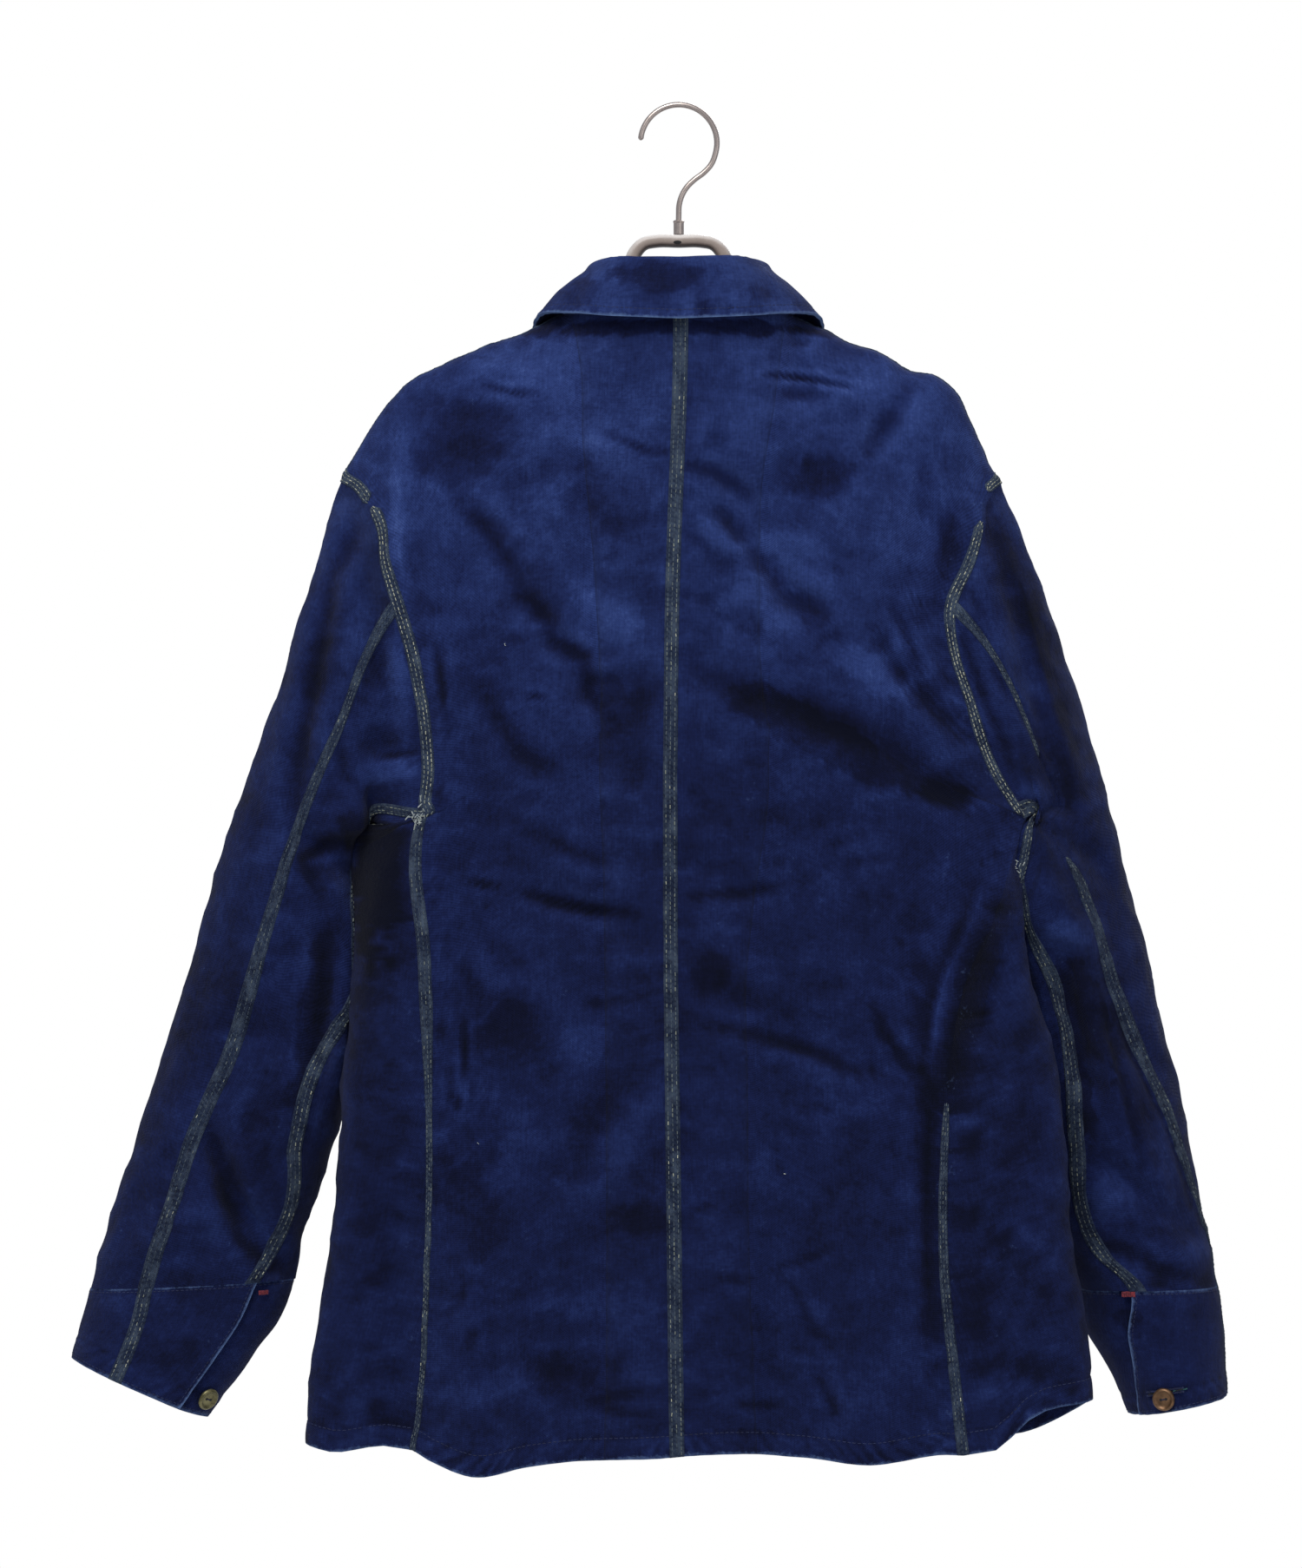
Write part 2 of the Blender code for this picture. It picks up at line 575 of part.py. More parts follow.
def shared_normals(patches):
    """Unit normals at each patch's points, averaged over every patch that meets there."""
    own = {name: own_normals(grid, outward) for name, (grid, outward) in patches.items()}
    total = {}
    for name, (grid, _outward) in patches.items():
        for point, normal in zip(grid.reshape(-1, 3), own[name].reshape(-1, 3)):
            key = tuple(np.round(point, 1))
            total[key] = total.get(key, 0) + normal
    shared = {}
    for name, (grid, _outward) in patches.items():
        shared[name] = unit(np.array([[total[tuple(np.round(point, 1))] for point in row] for row in grid]))
    return shared, own


def edge_pull(grid, normal, own, distance):
    """Draw every edge of a grid away from its seam, square to the edge and the shared normal."""
    pulled = grid.copy()
    for axis, index, inner in ((0, 0, 1), (0, -1, -2), (1, 0, 1), (1, -1, -2)):
        edge = np.take(grid, index, axis)
        inside = unit(np.take(grid, inner, axis) - edge)
        tangent = np.gradient(edge, axis=0)
        square = unit(np.cross(np.take(normal, index, axis), tangent))
        away = inside - 0.5 * np.take(own, index, axis)
        square *= np.sign(np.sum(square * away, axis=-1, keepdims=True))
        if axis == 0:
            pulled[index] += square * distance
        else:
            pulled[:, index] += square * distance
    return pulled


def quad_faces(rows, columns, offset):
    faces = []
    for i in range(rows - 1):
        for j in range(columns - 1):
            a = offset + i * columns + j
            faces.append((a, a + 1, a + columns + 1, a + columns))
    return faces


def wall_mesh(outer, inner):
    """Closed wall between two grids of points."""
    rows, columns = outer.shape[:2]
    points = np.concatenate([outer.reshape(-1, 3), inner.reshape(-1, 3)])
    back = rows * columns
    faces = quad_faces(rows, columns, 0)
    faces += [tuple(reversed(face)) for face in quad_faces(rows, columns, back)]
    rim = list(range(columns))
    rim += [i * columns + columns - 1 for i in range(1, rows)]
    rim += [(rows - 1) * columns + j for j in range(columns - 2, -1, -1)]
    rim += [i * columns for i in range(rows - 2, 0, -1)]
    for a, b in zip(rim, rim[1:] + rim[:1]):
        faces.append((b, a, a + back, b + back))
    return points, faces


def finish_material(kind):
    name, colour, roughness, metallic = kind
    material = bpy.data.materials.get(name) or bpy.data.materials.new(name)
    material.use_nodes = True
    shader = material.node_tree.nodes["Principled BSDF"]
    shader.inputs["Base Color"].default_value = (*colour, 1)
    shader.inputs["Roughness"].default_value = roughness
    shader.inputs["Metallic"].default_value = metallic
    return material


def add_object(name, points, faces, kind):
    """Add one closed piece; points are in millimetres."""
    mesh = bpy.data.meshes.new(name)
    mesh.from_pydata([tuple(point) for point in np.asarray(points) * MM], [], faces)
    bm = bmesh.new()
    bm.from_mesh(mesh)
    bmesh.ops.triangulate(bm, faces=bm.faces[:])
    if bm.calc_volume(signed=True) < 0:
        bmesh.ops.reverse_faces(bm, faces=bm.faces[:])
    bm.to_mesh(mesh)
    bm.free()
    mesh.shade_smooth()
    mesh.set_sharp_from_angle(angle=math.radians(40))
    piece = bpy.data.objects.new(name, mesh)
    piece.data.materials.append(finish_material(kind))
    bpy.context.scene.collection.objects.link(piece)
    return piece


def add_wall(name, grid, normal, own, thickness, kind):
    pulled = edge_pull(grid, normal, own, SEAM_PULL)
    points, faces = wall_mesh(pulled, pulled - normal * thickness)
    return add_object(name, points, faces, kind)


def cloth_patches():
    """Outer grids of the panels that meet at seams, with outward hints."""
    patches = {}
    for side in (LEFT, RIGHT):
        back, front = back_panel(side), front_panel(side)
        patches["back_" + side.name] = (back, np.zeros_like(back) + (0, -1, 0))
        patches["front_" + side.name] = (front, np.zeros_like(front) + (0, 1, 0))
        t = sleeve_rows()[:, None]
        under, top, cuff = under_sleeve(side), top_sleeve(side), cuff_grid(side)
        patches["sleeve_under_" + side.name] = (under, under - tube_axis(side, t))
        patches["sleeve_top_" + side.name] = (top, top - tube_axis(side, t))
        cuff_t = np.linspace(1, side.cuff_end, CUFF_ROWS + 1)[:, None]
        patches["cuff_" + side.name] = (cuff, cuff - tube_axis(side, cuff_t))
    return patches


def neck_edge(patches, normals):
    """Neck edge as (points, normals), from the left front round the back to the right front."""
    points, outward = [], []
    for name, reverse in (("front_left", False), ("back_left", True), ("back_right", False),
                          ("front_right", True)):
        grid = patches[name][0][0]
        normal = normals[name][0]
        if name.startswith("front"):
            columns = slice(2, 2 + NECK_COLUMNS + 1)
        else:
            columns = slice(0, NECK_COLUMNS + 1)
        grid, normal = grid[columns], normal[columns]
        if reverse:
            grid, normal = grid[::-1], normal[::-1]
        if points:
            grid, normal = grid[1:], normal[1:]
        points.extend(grid)
        outward.extend(normal)
    return np.array(points), np.array(outward)


# Collar guide lines by share of the way round: 0 is the middle of the back, 1 the front end
FOLD_LINE = {
    "x": smooth_curve([(0, 0), (0.15, 27), (0.3, 42), (0.45, 52), (0.6, 50), (0.8, 34), (1, 13)]),
    "y": smooth_curve([(0, -40), (0.15, -36), (0.3, -24), (0.45, -4), (0.6, 17), (0.8, 36), (1, 43)]),
    "z": smooth_curve([(0, -97.5), (0.15, -96.5), (0.3, -97), (0.45, -101), (0.6, -116), (0.8, -150),
                       (1, -184)]),
}
COLLAR_EDGE = {
    "x": smooth_curve([(0, 0), (0.15, 40), (0.3, 66), (0.45, 87), (0.6, 90), (0.8, 82), (1, 68)]),
    "y": smooth_curve([(0, -48), (0.15, -45), (0.3, -32), (0.45, -8), (0.6, 21), (0.8, 39), (1, 50)]),
    "z": smooth_curve([(0, -134), (0.15, -132.5), (0.3, -130), (0.45, -130), (0.6, -146), (0.8, -186),
                       (1, -226)]),
}


def collar_guide(lines, share, sign):
    return np.array([sign * float(lines["x"](share)), float(lines["y"](share)), float(lines["z"](share))])


def collar_rise(along, outward, seam):
    """Direction in which the stand rises from the neck edge."""
    rise = unit(np.cross(outward, along))
    return rise if rise[2] - np.sign(seam[0]) * rise[0] > 0 else -rise


def collar_section(seam, rise, fold, rim):
    """One cut through the collar: up the stand, over the fold line, down the fall."""
    away = unit((rim - fold) * (1, 1, 0))
    up = np.array([0, 0, 1.0])
    start = seam + rise * COLLAR_SEAM_GAP
    turn = fold + away * 6.4 - up * 2.6
    path = [start, start + rise * 5.0, start * 0.45 + fold * 0.55, fold - up * 3.0]
    path += [fold + away * 1.2 - up * 0.4, fold + away * 4.2 + up * 0.2, turn]
    for f in (0.3, 0.55, 0.8, 1.0):
        bulge = away * COLLAR_BULGE * math.sin(math.pi * f)
        path.append(turn * (1 - f) + rim * f + bulge)
    return path


def collar_grid(edge, outward):
    """Collar mid surface, with one section for each point of the neck edge."""
    along = np.gradient(edge, axis=0)
    shares = np.linspace(-1, 1, len(edge))
    columns = []
    for j, share in enumerate(shares):
        sign = -1 if share < 0 else 1
        seam = edge[j] - outward[j] * WALL / 2
        rise = collar_rise(along[j], outward[j], seam)
        fold = collar_guide(FOLD_LINE, abs(share), sign)
        rim = collar_guide(COLLAR_EDGE, abs(share), sign)
        columns.append(collar_section(seam, rise, fold, rim))
    return np.array(columns).transpose(1, 0, 2)


def add_collar(patches, normals):
    edge, outward = neck_edge(patches, normals)
    grid = collar_grid(edge, outward)
    hint = grid * (1, 1, 0)
    hint[COLLAR_TURN_ROW:] *= -1
    normal = own_normals(grid, hint)
    if np.sum(normal[0] * outward) < 0:
        normal = -normal
    normal[0] = outward
    half = COLLAR_WALL / 2
    points, faces = wall_mesh(grid + normal * half, grid - normal * half)
    add_object("collar", points, faces, DENIM)


def sweep(name, centres, sections, kind):
    """Closed sweep: each section is a ring of points about its centre."""
    sides = len(sections[0])
    points = [centre + offset for centre, ring in zip(centres, sections) for offset in ring]
    faces = []
    for i in range(len(centres) - 1):
        for j in range(sides):
            a, b = i * sides + j, i * sides + (j + 1) % sides
            faces.append((a, b, b + sides, a + sides))
    last = (len(centres) - 1) * sides
    faces.append(tuple(range(sides - 1, -1, -1)))
    faces.append(tuple(range(last, last + sides)))
    return add_object(name, points, faces, kind)


def flat_rings(centres, across, depth, sides):
    """Ellipse rings square to a line that lies in the XZ plane."""
    tangent = np.gradient(centres, axis=0)
    tangent /= np.linalg.norm(tangent, axis=1, keepdims=True)
    rings = []
    for direction, a, b in zip(tangent, across, depth):
        square = np.array([-direction[2], 0, direction[0]])
        turn = np.linspace(0, 2 * math.pi, sides, endpoint=False)
        rings.append(np.outer(np.cos(turn) * a, square) + np.outer(np.sin(turn) * b, (0, 1, 0)))
    return rings


def add_hook():
    """Wire hook: open loop, then an easy bend into the upright shaft."""
    centre_z = WIRE_RADIUS - HOOK_RADIUS
    loop = [(HOOK_RADIUS * math.cos(a), centre_z + HOOK_RADIUS * math.sin(a))
            for a in np.radians(np.arange(176, -21, -9))]
    bend = [(20.0, -35.5), (15.5, -40.5), (9.5, -45.0), (4.6, -50.0), (1.6, -55.5), (0.2, -61.0)]
    shaft = [(0.0, -66.0), (0.0, SHAFT_BOTTOM)]
    line = np.array([(x, 0, z) for x, z in loop + bend + shaft])
    radius = np.full(len(line), WIRE_RADIUS)
    line = np.concatenate([line[:1] + (0.25, 0, -1.1), line])
    radius = np.concatenate([[0.9], radius])
    sweep("hook", line, flat_rings(line, radius, radius, 10), HOOK_METAL)


def turned(name, profile, sides, place, axis, kind, closed_ring=False):
    """Turned piece from (radius, height) points along an axis."""
    axis = Vector(axis).normalized()
    turn = Vector((0, 0, 1)).rotation_difference(axis).to_matrix()
    points, faces = [], []
    for radius, height in profile:
        for k in range(sides):
            a = 2 * math.pi * k / sides
            spot = turn @ Vector((radius * math.cos(a), radius * math.sin(a), height))
            points.append(np.array(place) + np.array(spot))
    rings = len(profile)
    for i in range(rings if closed_ring else rings - 1):
        for k in range(sides):
            a, b = i * sides + k, i * sides + (k + 1) % sides
            c, d = ((i + 1) % rings) * sides + (k + 1) % sides, ((i + 1) % rings) * sides + k
            faces.append((a, b, c, d))
    if not closed_ring:
        faces.append(tuple(range(sides - 1, -1, -1)))
        faces.append(tuple(range((rings - 1) * sides, rings * sides)))
    return add_object(name, points, faces, kind)


def add_ferrule():
    inner = WIRE_RADIUS + 0.3
    profile = [(inner, SHAFT_BOTTOM), (FERRULE_RADIUS, SHAFT_BOTTOM), (FERRULE_RADIUS, FERRULE_TOP - 0.8),
               (FERRULE_RADIUS - 0.7, FERRULE_TOP), (inner, FERRULE_TOP)]
    turned("ferrule", profile, 16, (0, 0, 0), (0, 0, 1), HOOK_METAL, closed_ring=True)


def hanger_line():
    """Middle line of the hanger: arms under the shoulders and an arch at the neck."""
    arch = [(0, -83.0), (14, -83.0), (22, -84.8), (27, -90), (30.5, -100), (36, -114), (45, -127),
            (57, -136), (70, -143)]
    arm = [88, 104, 120, 136, 150, 160, HANGER_REACH]
    halves = []
    for side in (LEFT, RIGHT):
        half = [(side.sign * x, z) for x, z in arch]
        half += [(side.sign * x, float(side.ridge(x)) - arm_drop(side, x)) for x in arm]
        halves.append(half)
    return halves[0][:0:-1] + halves[1]


def arm_drop(side, x):
    """Distance from the shoulder ridge down to the arm's middle, square to the slope."""
    slope = float(side.ridge(x + 1) - side.ridge(x - 1)) / 2
    return (WALL + 3.2 + arm_height(x)) * math.hypot(1, slope) + 5.0 * float(smooth_step(x, 120, 165))


def arm_height(x):
    return float(np.interp(abs(x), (20, 60, 120, 160, HANGER_REACH), (4, 6, 8, 7.5, 5)))


def arm_depth(x):
    return float(np.interp(abs(x), (20, 60, 120, 160, HANGER_REACH), (5.5, 6.5, 7, 6.5, 4.5)))


def add_hanger():
    line = np.array([(x, 0, z) for x, z in hanger_line()], float)
    across = [arm_height(x) for x in line[:, 0]]
    depth = [arm_depth(x) for x in line[:, 0]]
    sweep("hanger_body", line, flat_rings(line, across, depth, 12), HANGER_PLASTIC)


def button_profile(radius):
    return [(radius * 0.55, 0.0), (radius * 0.9, 0.5), (radius, 1.4), (radius * 0.93, 2.6),
            (radius * 0.78, BUTTON_THICKNESS), (radius * 0.5, 2.3)]


def add_front_buttons():
    """Buttons stand on the outside of the overlapping left front."""
    profile = button_profile(FRONT_BUTTON_RADIUS)
    for number, z in enumerate(FRONT_BUTTON_HEIGHTS, 1):
        cloth = body_point(LEFT, 2.0, z)[1]
        spot = np.array([0.0, cloth + BUTTON_GAP, z])
        turned(f"front_button_{number}", profile, 18, spot, (0, 1, 0), BUTTON_METAL)


def add_cuff_button(side, t, from_slit, lift):
    """A button on the cuff, just clear of the cloth."""
    degrees = float(side.inseam(t)) + from_slit
    here = sleeve_point(side, t, degrees)
    round_way = sleeve_point(side, t, degrees + 4) - sleeve_point(side, t, degrees - 4)
    down_way = sleeve_point(side, t + 0.02, degrees) - sleeve_point(side, t - 0.02, degrees)
    normal = unit(np.cross(round_way, down_way))
    if np.dot(normal, here - tube_axis(side, t)) < 0:
        normal = -normal
    spot = here + normal * lift
    turned("cuff_button_" + side.name, button_profile(CUFF_BUTTON_RADIUS), 18, spot, normal, BUTTON_METAL)


def main():
    for piece in list(bpy.data.objects):
        bpy.data.objects.remove(piece, do_unlink=True)
    patches = cloth_patches()
    normals, own = shared_normals(patches)
    for name, (grid, _hint) in patches.items():
        thickness = CUFF_WALL if name.startswith("cuff") else WALL
        add_wall(name, grid, normals[name], own[name], thickness, DENIM)
    add_collar(patches, normals)
    add_front_buttons()
    add_cuff_button(LEFT, *LEFT_CUFF_BUTTON)
    add_cuff_button(RIGHT, *RIGHT_CUFF_BUTTON)
    add_hook()
    add_ferrule()
    add_hanger()


main()
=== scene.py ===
"""Looks of an indigo denim work jacket that hangs from a moulded hanger with a wire hook.

The cloth is a thin shell on the same form as the solids, in millimetres until add_mesh turns them
into metres: +X is the wearer's right, -Y the back, and the origin is the hook's inner top.
Creases, crumple and seam puckers are added along the cloth's own normals.
"""
import math

import bpy
import numpy as np
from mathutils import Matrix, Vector, noise


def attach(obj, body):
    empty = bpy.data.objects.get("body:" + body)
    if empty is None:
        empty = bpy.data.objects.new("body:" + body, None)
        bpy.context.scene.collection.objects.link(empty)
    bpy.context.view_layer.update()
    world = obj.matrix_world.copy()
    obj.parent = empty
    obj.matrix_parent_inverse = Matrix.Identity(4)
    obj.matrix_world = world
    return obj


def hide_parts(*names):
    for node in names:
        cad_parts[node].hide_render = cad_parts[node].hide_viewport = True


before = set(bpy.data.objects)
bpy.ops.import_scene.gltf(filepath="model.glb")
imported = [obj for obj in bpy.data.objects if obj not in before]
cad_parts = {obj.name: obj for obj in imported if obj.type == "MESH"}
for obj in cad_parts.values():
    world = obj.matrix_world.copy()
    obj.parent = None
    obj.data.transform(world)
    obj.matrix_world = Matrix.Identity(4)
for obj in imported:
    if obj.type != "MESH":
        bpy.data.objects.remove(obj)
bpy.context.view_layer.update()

MM = 0.001

# Cloth
WALL = 2.0
CLOTH = 1.2
CUFF_CLOTH = 1.9
COLLAR_CLOTH = 2.0
COLLAR_SEAM_GAP = 0.45
COLLAR_BULGE = 3.0
COLLAR_ROWS = 40
UNDERARM_DIP = 14.0

# Body form
BODY_DEPTH = 45.0
RIDGE_FALLOFF = 70.0
SECTION_POWER = 3.0
SECTION_FLATNESS = 0.2
NECK_HALF_WIDTH = 72.0
NECK_BACK_DEPTH = 38.0
NECK_BACK_TOP = -118.0
NECK_SIDE_TOP = -128.5
NECK_FRONT_DROP = 62.0
FRONT_NECK_TURN = math.radians(75)
SIDE_SWING = 18.0
FRONT_LAP = 15.0
LAP_STEP = 3.0

# Divisions: the solids cut the armhole in 15 degree steps and the side seam in 12 rows
SOLID_RING_STEP = 15
SOLID_ROWS_BELOW = 12
RING_STEP = 1.5
ELBOW_AT_ARMHOLE = 75
SIDE_SEAM_AT_ARMHOLE = 165
BACK_RING_ROWS = int(SIDE_SEAM_AT_ARMHOLE / RING_STEP)
FRONT_RING_ROWS = int((360 - SIDE_SEAM_AT_ARMHOLE) / RING_STEP)
UNDER_COLUMNS = int((SIDE_SEAM_AT_ARMHOLE - ELBOW_AT_ARMHOLE) / RING_STEP)
TOP_COLUMNS = int((360 + ELBOW_AT_ARMHOLE - SIDE_SEAM_AT_ARMHOLE) / RING_STEP)
NECK_COLUMNS = 36
SHOULDER_COLUMNS = 40
LAP_COLUMNS = 12
ROWS_BELOW_ARMHOLE = 130
SLEEVE_ROWS = 135
SLEEVE_ROW_POWER = 1.08
CUFF_ROWS = 26
CUFF_LAP_COLUMNS = 16
CUFF_LAP_TURN = 24
CUFF_LAP_SUNK = 3.4
TOP_BEND_FADE = 5
BOTTOM_BEND_FADE = 4
SECTION_SCALE = 210.0

# Places on the body's section: the side, and the middle of the front
SIDE_PLACE = 1.0
FRONT_MIDDLE = 2.0

# Hook, ferrule and hanger
WIRE_RADIUS = 1.75
HOOK_RADIUS = 23.7
SHAFT_BOTTOM = -78.7
FERRULE_RADIUS = 3.2
FERRULE_TOP = -70.0
HANGER_REACH = 166.0
# Half height and half depth of the hanger at distances from its middle
HANGER_STATIONS = (20, 60, 120, 160, HANGER_REACH)
HANGER_HALF_HEIGHTS = (4, 6, 8, 7.5, 5)
HANGER_HALF_DEPTHS = (5.5, 6.5, 7, 6.5, 4.5)

# Buttons: outlines as (share of the radius, height), and places on the cuffs as
# (share along the sleeve, degrees from the slit, lift)
FRONT_BUTTON_RADIUS = 8.5
CUFF_BUTTON_RADIUS = 7.2
BUTTON_THICKNESS = 3.2
BUTTON_GAP = 0.5
FRONT_BUTTON_HEIGHTS = (-222.0, -350.0, -478.0, -606.0, -734.0)
LEFT_CUFF_BUTTON = (1.118, 18, -0.1)
RIGHT_CUFF_BUTTON = (1.142, -36, 0.1)
BUTTON_PROFILE = ((0.55, 0.0), (0.88, 0.35), (0.985, 1.1), (1, 1.7), (0.97, 2.4), (0.9, 2.95),
                  (0.82, BUTTON_THICKNESS), (0.75, 3.0), (0.69, 2.5), (0.6, 2.15), (0.3, 2.0))
HOLE_PROFILE = ((0.13, 0), (0.13, 0.38), (0.1, 0.42))
HOLE_OFFSET = 0.24
HOLE_HEIGHT = 1.7
BUTTON_THREAD_REACH = 0.26
BUTTON_THREAD_HEIGHT = 2.15

# Felled seams: share of the width and height of each line across a strip
STRIP_STEP = 1.5
STRIP_SHARES = (0.0, 0.06, 0.2, 0.35, 0.5, 0.65, 0.8, 0.94, 1.0)
STRIP_HEIGHTS = (0.0, 0.7, 0.5, 0.85, 0.55, 0.85, 0.5, 0.7, 0.0)
STRIP_SUNK = 0.4
STRIP_PUCKER_PITCH = 3.3
# A strip reaches over this many columns of a panel, and is tucked under where it is narrow
STRIP_COLUMNS = 16
TUCKED_WIDTH = 3.6
TUCK_DEPTH = 1.4
# Width on each side of the seam: a number, or (share of the way along, width) pairs
EVEN_REACH = (4.7, 4.7)
SHOULDER_REACH = (0.2, 8.6)
INSEAM_REACH = {"left": (8.6, 1.6), "right": (10.4, 0.8)}
SIDE_REACH = {
    "left": (((0, 4.2), (0.3, 4.2), (0.46, 1.9), (1, 1.9)), ((0, 4.2), (0.3, 4.2), (0.46, 2.3), (1, 2.3))),
    "right": 2 * (((0, 0.8), (0.43, 0.8), (0.5, 2.4), (1, 4)),),
}
ARMHOLE_REACH = {
    "left": (((0, 3.4), (0.11, 3.4), (0.125, 0.8), (0.14, 0.8), (0.16, 3.4), (1, 3.4)),
             ((0, 5.8), (0.11, 5.8), (0.125, 1.0), (0.14, 1.0), (0.16, 5.8), (1, 5.8))),
    "right": (((0, 3.4), (0.05, 3.2), (0.07, 0.8), (0.15, 0.8), (0.18, 3.0), (1, 3.4)),
              ((0, 5.4), (0.05, 5.2), (0.07, 0.8), (0.15, 0.8), (0.18, 5.0), (1, 5.6))),
}
ELBOW_REACH = {
    "left": (5.2, 5.2),
    "right": 2 * (((0, 4.6), (0.2, 4.6), (0.23, 0.8), (0.38, 0.8), (0.42, 4.7), (1, 4.9)),),
}
FRONT_ARMHOLE_REACH = (((0, 3.4), (0.82, 3.4), (0.88, 0.8), (1, 0.8)),
                       ((0, 5.6), (0.82, 5.6), (0.88, 1.0), (1, 1.0)))
# How much paler than usual the stitches of a seam are
STITCH_TINTS = {"side": -0.14, "armhole_back": 0.28, "elbow": -0.22}

# Stitches: rows across a strip, and how much each stitch wanders, turns and differs
STITCH_SHARES = (0.2, 0.5, 0.8)
STITCH_PITCH = 3.1
STITCH_LENGTH_SHARE = 0.74
STITCH_WANDER = 0.12
STITCH_TURN = 0.06
STITCH_TINT = 0.45
STITCH_TINT_SPREAD = 0.22
# Rows in the cloth's own colour: distance in from an edge
HEM_WIDTH = 13.5
COLLAR_SEWN_IN = 5.5
FRONT_EDGE_SEWING = (2.0, 26.0)
CUFF_SEWING = {"top": 2.2, "bottom": 2.6, "start": 3.0}

# Where the sleeves lean on the body below the underarms: depth below the hook, and distance out
LEFT_SLEEVE_EDGE = ((440, 203.5), (460, 204.5), (500, 206), (560, 206.5), (580, 207.5), (600, 209.5),
                    (620, 211))
RIGHT_SIDE_LIMIT = 211.5
# How far the sleeves are drawn towards the body: shares by depth below the hook, and whole shifts
RIGHT_INSEAM_DRAW = ((434, 0), (442, 0.8), (450, 1), (470, 1), (486, 0.85), (510, 0.5), (545, 0.15),
                     (580, 0))
RIGHT_INSEAM_SHIFT = (-23.0, -32.0, 0.0)
LEFT_INSEAM_SHIFT = (3.0, -20.0, 0.0)
LEFT_CORNER = (-204.0, -437.0)
LEFT_CORNER_SIZE = 13.0
LEFT_CORNER_SHIFT = (8.0, -6.0, -7.0)

# Relief of worn cloth: heights of its waves, dents and small creases
BROAD_WAVES = 1.4
DENTS = 0.8
SHARP_CREASES = 2.6
FINE_CREASES = 0.7
SMALL_DENTS = 0.26
MEAN_RIDGE = 0.25
BANK_SHARE = 0.35
CUFF_CREASE_SHARE = 0.3
BAND_CRUMPLE_SHARE = 0.55
PUCKER_PITCH = 7.5
PUCKER_HEIGHT = 0.22
PUCKER_REACH = 8.0
HEM_ROPE_PITCH = 11.0
COLLAR_ROPE_PITCH = 8.0

# Painted shade and rubbing: how far relief and bends darken the cloth in hollows as painted shade and lighten
# it on ridges as rubbing, and its limits
SHADE_AND_WEAR_FROM_LIFT = 0.24
SHADE_AND_WEAR_FROM_BEND = 0.6
RAISED_WEAR_SHARE = 0.5
WEAR_AND_SHADE_LIMITS = (-1.7, 1.2)
COLLAR_WEAR_AND_SHADE_LIMITS = (-1.2, 1.2)
# Worn pale edges: how pale, and how far in
SEAM_PALE = (0.12, 2.2)
HEM_PALE = (0.6, 1.2)
COLLAR_PALE = (0.85, 1.6)
CUFF_SLIT_PALE = (0.85, 1.5)
CUFF_SEAM_PALE = (0.425, 0.9)

# Trims on the cuffs as (share along the sleeve, degrees from the slit), and bartacks with their size
BARTACKS = {"left": (1.014, 8, (6.5, 3.8)), "right": (1.004, 2, (8.5, 4.6))}
RIGHT_CUFF_HOLE = (1.133, -36)
GREEN_END = (1.133, -52)
FRONT_HOLE_LENGTH = 20
CUFF_HOLE_LENGTH = 24
# Frayed ends and lint: x, z, panel, spread and number of fibres
TUFTS = {
    "frayed_end_left": (-161, -440, "back_left", 9.0, 60),
    "frayed_end_right": (207, -470, "sleeve_top_right", 7.0, 18),
    "lint_1": (-108, -334, "back_left", 2.0, 3),
    "lint_2": (-123, -642, "back_left", 1.6, 2),
    "lint_3": (64, -659, "back_right", 1.6, 2),
}

# Camera: how the photograph frames the jacket
PHOTO_HEIGHT = 968.0
CAMERA_DISTANCE = 4000.0
CAMERA_SENSOR = 36
VIEW_CENTRE = (-17.2, -20.0, -419.7)

# Studio, in metres: name, place, size and power of each light
FLOOR_RADIUS = 3.2
FLOOR_HEIGHT = -1.6
AMBIENT = 0.5
AMBIENT_COLOUR = (0.86, 0.9, 1.0, 1)
LIGHT_TARGET = (0, 0, -0.42)
LIGHTS = [("key", (-0.7, -2.0, 2.1), 1.5, 74), ("fill", (1.8, -2.6, -0.3), 1.6, 9),
          ("front", (0.8, 2.6, 1.2), 1.4, 45)]


def smooth_curve(points):
    """A smooth line through (place, value) pairs, straight beyond both ends."""
    place = np.array([point[0] for point in points], float)
    value = np.array([point[1] for point in points], float)
    order = np.argsort(place)
    place, value = place[order], value[order]
    slope = np.gradient(value, place)

    def at(where):
        where = np.asarray(where, float)
        inside = np.clip(where, place[0], place[-1])
        low = np.clip(np.searchsorted(place, inside) - 1, 0, len(place) - 2)
        span = place[low + 1] - place[low]
        f = (inside - place[low]) / span
        start = value[low] * (1 + 2 * f) * (1 - f) ** 2 + slope[low] * span * f * (1 - f) ** 2
        end = value[low + 1] * f * f * (3 - 2 * f) + slope[low + 1] * span * f * f * (f - 1)
        outside = slope[0] * np.minimum(where - place[0], 0) + slope[-1] * np.maximum(where - place[-1], 0)
        return start + end + outside

    return at


def smooth_step(value, low, high):
    f = np.clip((np.asarray(value, float) - low) / (high - low), 0, 1)
    return f * f * (3 - 2 * f)


def section_table():
    """The body's section as a flat rounded form: reach and depth along its length."""
    angle = np.linspace(0, math.pi / 2, 2001)
    reach = np.sin(angle) ** (2 / SECTION_POWER)
    depth = np.cos(angle) ** (2 / SECTION_POWER)
    step = np.hypot(np.diff(reach), SECTION_FLATNESS * np.diff(depth))
    along = np.concatenate([[0], np.cumsum(step)])
    return along / along[-1], reach, depth


ALONG, REACH, DEPTH = section_table()


